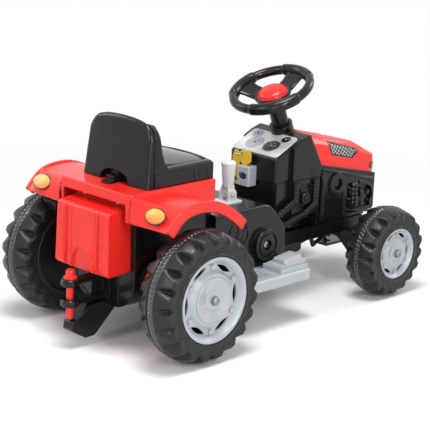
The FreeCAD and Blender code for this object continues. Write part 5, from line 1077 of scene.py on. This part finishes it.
# stepped disc and short spokes on each wheel's face: shares of the rim's radius, heights in millimetres
discLook = dict(sunk=5.0, around=96, ribs=6, clock=0.25, ribRise=1.4)
discLooks = {
    "rear": dict(discLook, edge=0.53, lip=0.47, bore=0.24, rise=2.8, floor=1.4, ribEnd=0.41, ribWidth=6.0),
    "front": dict(discLook, edge=0.55, lip=0.48, bore=0.31, rise=2.4, floor=1.2, ribEnd=0.43, ribWidth=4.5),
}


def wheelDisc(rim, look):
    low, high = boxOf(rim)
    y, z = (low.y + high.y) / 2, (low.z + high.z) / 2
    radius = (high.z - low.z) / 2
    base = high.x - look["sunk"]
    edge, lip, bore, ribEnd = (look[key] * radius for key in ("edge", "lip", "bore", "ribEnd"))
    rise, floor = look["rise"], look["floor"]
    profile = [(edge, -1), (edge, rise * 0.5), (edge - 1, rise * 0.9), (edge - 2, rise), (lip + 2, rise),
               (lip, rise - 0.3), (lip - 1.6, floor), (bore + 0.8, floor), (bore, floor - 0.6), (bore, -1)]
    parts = [turnedOut(profile, y, z, base, look["around"], True)]
    parts += starBars(y, z, bore + 1, ribEnd, look["ribs"], look["clock"], look["ribWidth"], look["ribRise"],
                      base + floor)
    made = joined(parts)
    made.transform(toMetres)
    return made


def addWheelDiscs(looks):
    for end, look in looks.items():
        discs = bothSides([wheelDisc(end + "_rim_right", look)])
        for side, disc in zip(("right", "left"), discs):
            putPiece(end + "Disc" + side.capitalize(), disc, "silverPlastic", end + "_rim_" + side)


addWheelDiscs(discLooks)
print("wheel discs set")

# raised block on the foot pedal, on its sloping top: millimetres
pedalLook = dict(side=4.0, rear=13.0, front=3.0, rise=9.5, draft=1.6, chamfer=3.0, corner=4.0, frame=10.0,
                 lift=10.0)


def roundedLoop(halfX, halfY, corner, height, steps=5):
    loop = []
    for k, (x, y) in enumerate(((1, 1), (-1, 1), (-1, -1), (1, -1))):
        for step in range(steps + 1):
            a = pi / 2 * (k + step / steps)
            loop.append((x * (halfX - corner) + corner * cos(a),
                         y * (halfY - corner) + corner * sin(a), height))
    return loop


def addPedalBlock(look):
    low, high = boxOf("accelerator_pedal")
    length = high.y - low.y
    halfX = (high.x - low.x) / 2 - look["side"]
    halfY = (length - look["rear"] - look["front"]) / 2
    rise, draft, chamfer = look["rise"], look["draft"], look["chamfer"]
    steps = ((0, -3), (0, 0.6), (draft, rise - chamfer), (draft + chamfer * 0.3, rise - chamfer * 0.35),
             (draft + chamfer, rise))
    rows = [roundedLoop(halfX - inset, halfY - inset, look["corner"], height) for inset, height in steps]
    mesh = solid(rows)
    forward = (look["rear"] - look["front"]) / 2
    slope = look["lift"] / length
    spot = ((low.x + high.x) / 2, (low.y + high.y) / 2 + forward,
            low.z + look["frame"] + look["lift"] / 2 + forward * slope)
    mesh.transform(Matrix.Translation(spot) @ Matrix.Rotation(atan(slope), 4, "X"))
    mesh.transform(toMetres)
    putPiece("pedalBlock", mesh, "silverPlastic", "accelerator_pedal")


addPedalBlock(pedalLook)
print("pedal block set")

# upright ribs and the arch on the rear box: millimetres
boxLook = dict(ribs=(-56.0, -34.0, 34.0, 56.0), width=6.0, rise=2.4, low=170.0, high=272.0, ribSteps=24,
               arch=(31.0, 46.0), archRise=3.0, archFoot=4, archSteps=32)


def addBoxRibs(look):
    tree = BVHTree.FromObject(nodes["rear_box"], bpy.context.evaluated_depsgraph_get())

    def rib(places, rise):
        # follows the box's rear face
        hits = [tree.ray_cast(Vector((x / 1000, -0.6, z / 1000)), Vector((0, 1, 0))) for x, z in places]
        return ribAlong([(hit[0] * 1000, hit[1]) for hit in hits if hit[0] is not None], look["width"], rise)

    count = look["ribSteps"]
    heights = [look["low"] + (look["high"] - look["low"]) * k / count for k in range(count + 1)]
    parts = [rib([(x, z) for z in heights], look["rise"]) for x in look["ribs"]]
    half, rise = look["arch"]
    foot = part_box("rear_box")[0].z * 1000 + look["archFoot"]
    bend = [pi * k / look["archSteps"] for k in range(look["archSteps"] + 1)]
    parts.append(rib([(half * cos(a), foot + rise * sin(a)) for a in bend], look["archRise"]))
    putParts("boxRibs", parts, "redPlastic", "rear_box", toMetres)


addBoxRibs(boxLook)
print("rear box ribs set")

# the bonnet with its nose let down at the front: metres
noseLook = dict(start=0.340, end=0.422, fall=0.018, power=1.2, lean=0.014, low=0.274, full=0.312)


def addBonnet(look):
    mesh = nodes["bonnet"].data.copy()
    for point in mesh.vertices:
        along = (point.co.y - look["start"]) / (look["end"] - look["start"])
        if along > 0:
            share = min(1, max(0, (point.co.z - look["low"]) / (look["full"] - look["low"])))
            point.co.z -= look["fall"] * min(along, 1) ** look["power"] * share
            point.co.y -= look["lean"] * min(along, 1) * share ** 2
    putPiece("roundNoseBonnet", mesh, "softRed", "bonnet", stands=True)


addBonnet(noseLook)
print("bonnet set")

# camera at the photograph's viewing angle: metres, roll in degrees, lens and sensor in millimetres
cameraLook = dict(spot=(2.2211, -2.2933, 1.0618), aim=(-0.01043, -0.01842, 0.19836), roll=2.22, lens=132.92,
                  sensor=36, far=60)


def addCamera(look):
    lens = bpy.data.cameras.new("photoCamera")
    lens.lens = look["lens"]
    lens.sensor_width = look["sensor"]
    lens.clip_end = look["far"]
    stand = newObject("photoCamera", lens)
    ahead = (Vector(look["aim"]) - Vector(look["spot"])).normalized()
    right = ahead.cross(Vector((0, 0, 1))).normalized()
    up = right.cross(ahead)
    roll = radians(look["roll"])
    across = right * cos(roll) + up * sin(roll)
    over = up * cos(roll) - right * sin(roll)
    stand.matrix_world = Matrix((across, over, -ahead)).transposed().to_4x4()
    stand.location = look["spot"]
    bpy.context.scene.camera = stand


# soft studio light on a pale floor: metres and watts
lightLooks = {
    "overhead": dict(spot=(0.5, -0.5, 3.0), aim=(0, 0, 0.1), size=(1.1, 1.1), power=60),
    "rightStrip": dict(spot=(2.6, -1.2, 1.5), aim=(0, -0.25, 0.25), size=(0.3, 1.6), power=32),
    "rearStrip": dict(spot=(0.2, -3.0, 1.7), aim=(0, 0, 0.2), size=(0.4, 1.4), power=17.5),
    "leftBox": dict(spot=(-2.8, -1.6, 2.0), aim=(0, 0, 0.2), size=(1.2, 1.4), power=20),
    "frontBox": dict(spot=(0.6, 3.0, 2.2), aim=(0, 0, 0.2), size=(1.0, 1.4), power=26),
    "lowStrip": dict(spot=(1.80, -1.85, 0.36), aim=(0, -0.05, 0.3), size=(0.25, 0.6), power=5),
}
roomLook = dict(ambient=0.34, white=(1, 1, 1, 1))
floorLook = dict(size=14.0, height=-0.0006, colour=(0.93, 0.93, 0.93), rough=0.85, shine=0.1, fadeFrom=0.75,
                 fadeTo=1.6)


def addLight(name, look):
    lamp = bpy.data.lights.new(name, "AREA")
    lamp.shape = "RECTANGLE"
    lamp.size, lamp.size_y = look["size"]
    lamp.energy = look["power"]
    stand = newObject(name, lamp)
    stand.location = look["spot"]
    stand.rotation_euler = (Vector(look["aim"]) - Vector(look["spot"])).to_track_quat("-Z", "Y").to_euler()


def seenRays(tree):
    # one for camera, glossy and transmitted rays, else nought
    rays = tree.nodes.new("ShaderNodeLightPath")
    found = rays.outputs["Is Camera Ray"]
    for kind in ("Is Glossy Ray", "Is Transmission Ray"):
        larger = tree.nodes.new("ShaderNodeMath")
        larger.operation = "MAXIMUM"
        tree.links.new(found, larger.inputs[0])
        tree.links.new(rays.outputs[kind], larger.inputs[1])
        found = larger.outputs[0]
    return found


def blendShaders(tree, share, first, second, output):
    mix = tree.nodes.new("ShaderNodeMixShader")
    tree.links.new(share, mix.inputs["Fac"])
    tree.links.new(first.outputs[0], mix.inputs[1])
    tree.links.new(second.outputs[0], mix.inputs[2])
    tree.links.new(mix.outputs[0], tree.nodes[output].inputs["Surface"])


def floorPaint(look):
    made, tree, shader, place = newPaint("paleFloor")
    setSockets(shader, Base_Color=(*look["colour"], 1), Roughness=look["rough"],
               Specular_IOR_Level=look["shine"])
    reach = tree.nodes.new("ShaderNodeVectorMath")
    reach.operation = "LENGTH"
    tree.links.new(place, reach.inputs[0])
    fade = spread(tree, reach.outputs["Value"], 0, 1, look["fadeFrom"], look["fadeTo"])
    white = addNode(tree, "ShaderNodeEmission", Color=roomLook["white"], Strength=1)
    blendShaders(tree, fade, shader, white, "Material Output")
    return made


def addRoom(look):
    world = bpy.data.worlds.new("studio")
    world.use_nodes = True
    bpy.context.scene.world = world
    tree = world.node_tree
    ambient = tree.nodes["Background"]
    setSockets(ambient, Color=look["white"], Strength=look["ambient"])
    seen = addNode(tree, "ShaderNodeBackground", Color=look["white"], Strength=1)
    blendShaders(tree, seenRays(tree), ambient, seen, "World Output")


def addFloor(look):
    half = look["size"] / 2
    corners = [(x * half, y * half, 0) for x, y in ((-1, -1), (1, -1), (1, 1), (-1, 1))]
    mesh = bpy.data.meshes.new("studioFloor")
    mesh.from_pydata(corners, [], [(0, 1, 2, 3)])
    floor = newObject("studioFloor", mesh)
    floor.location.z = look["height"]
    mesh.materials.append(floorPaint(look))


addCamera(cameraLook)
for name, look in lightLooks.items():
    addLight(name, look)
addRoom(roomLook)
addFloor(floorLook)
bpy.context.scene.view_settings.view_transform = "Standard"
print("camera, lights and floor placed")
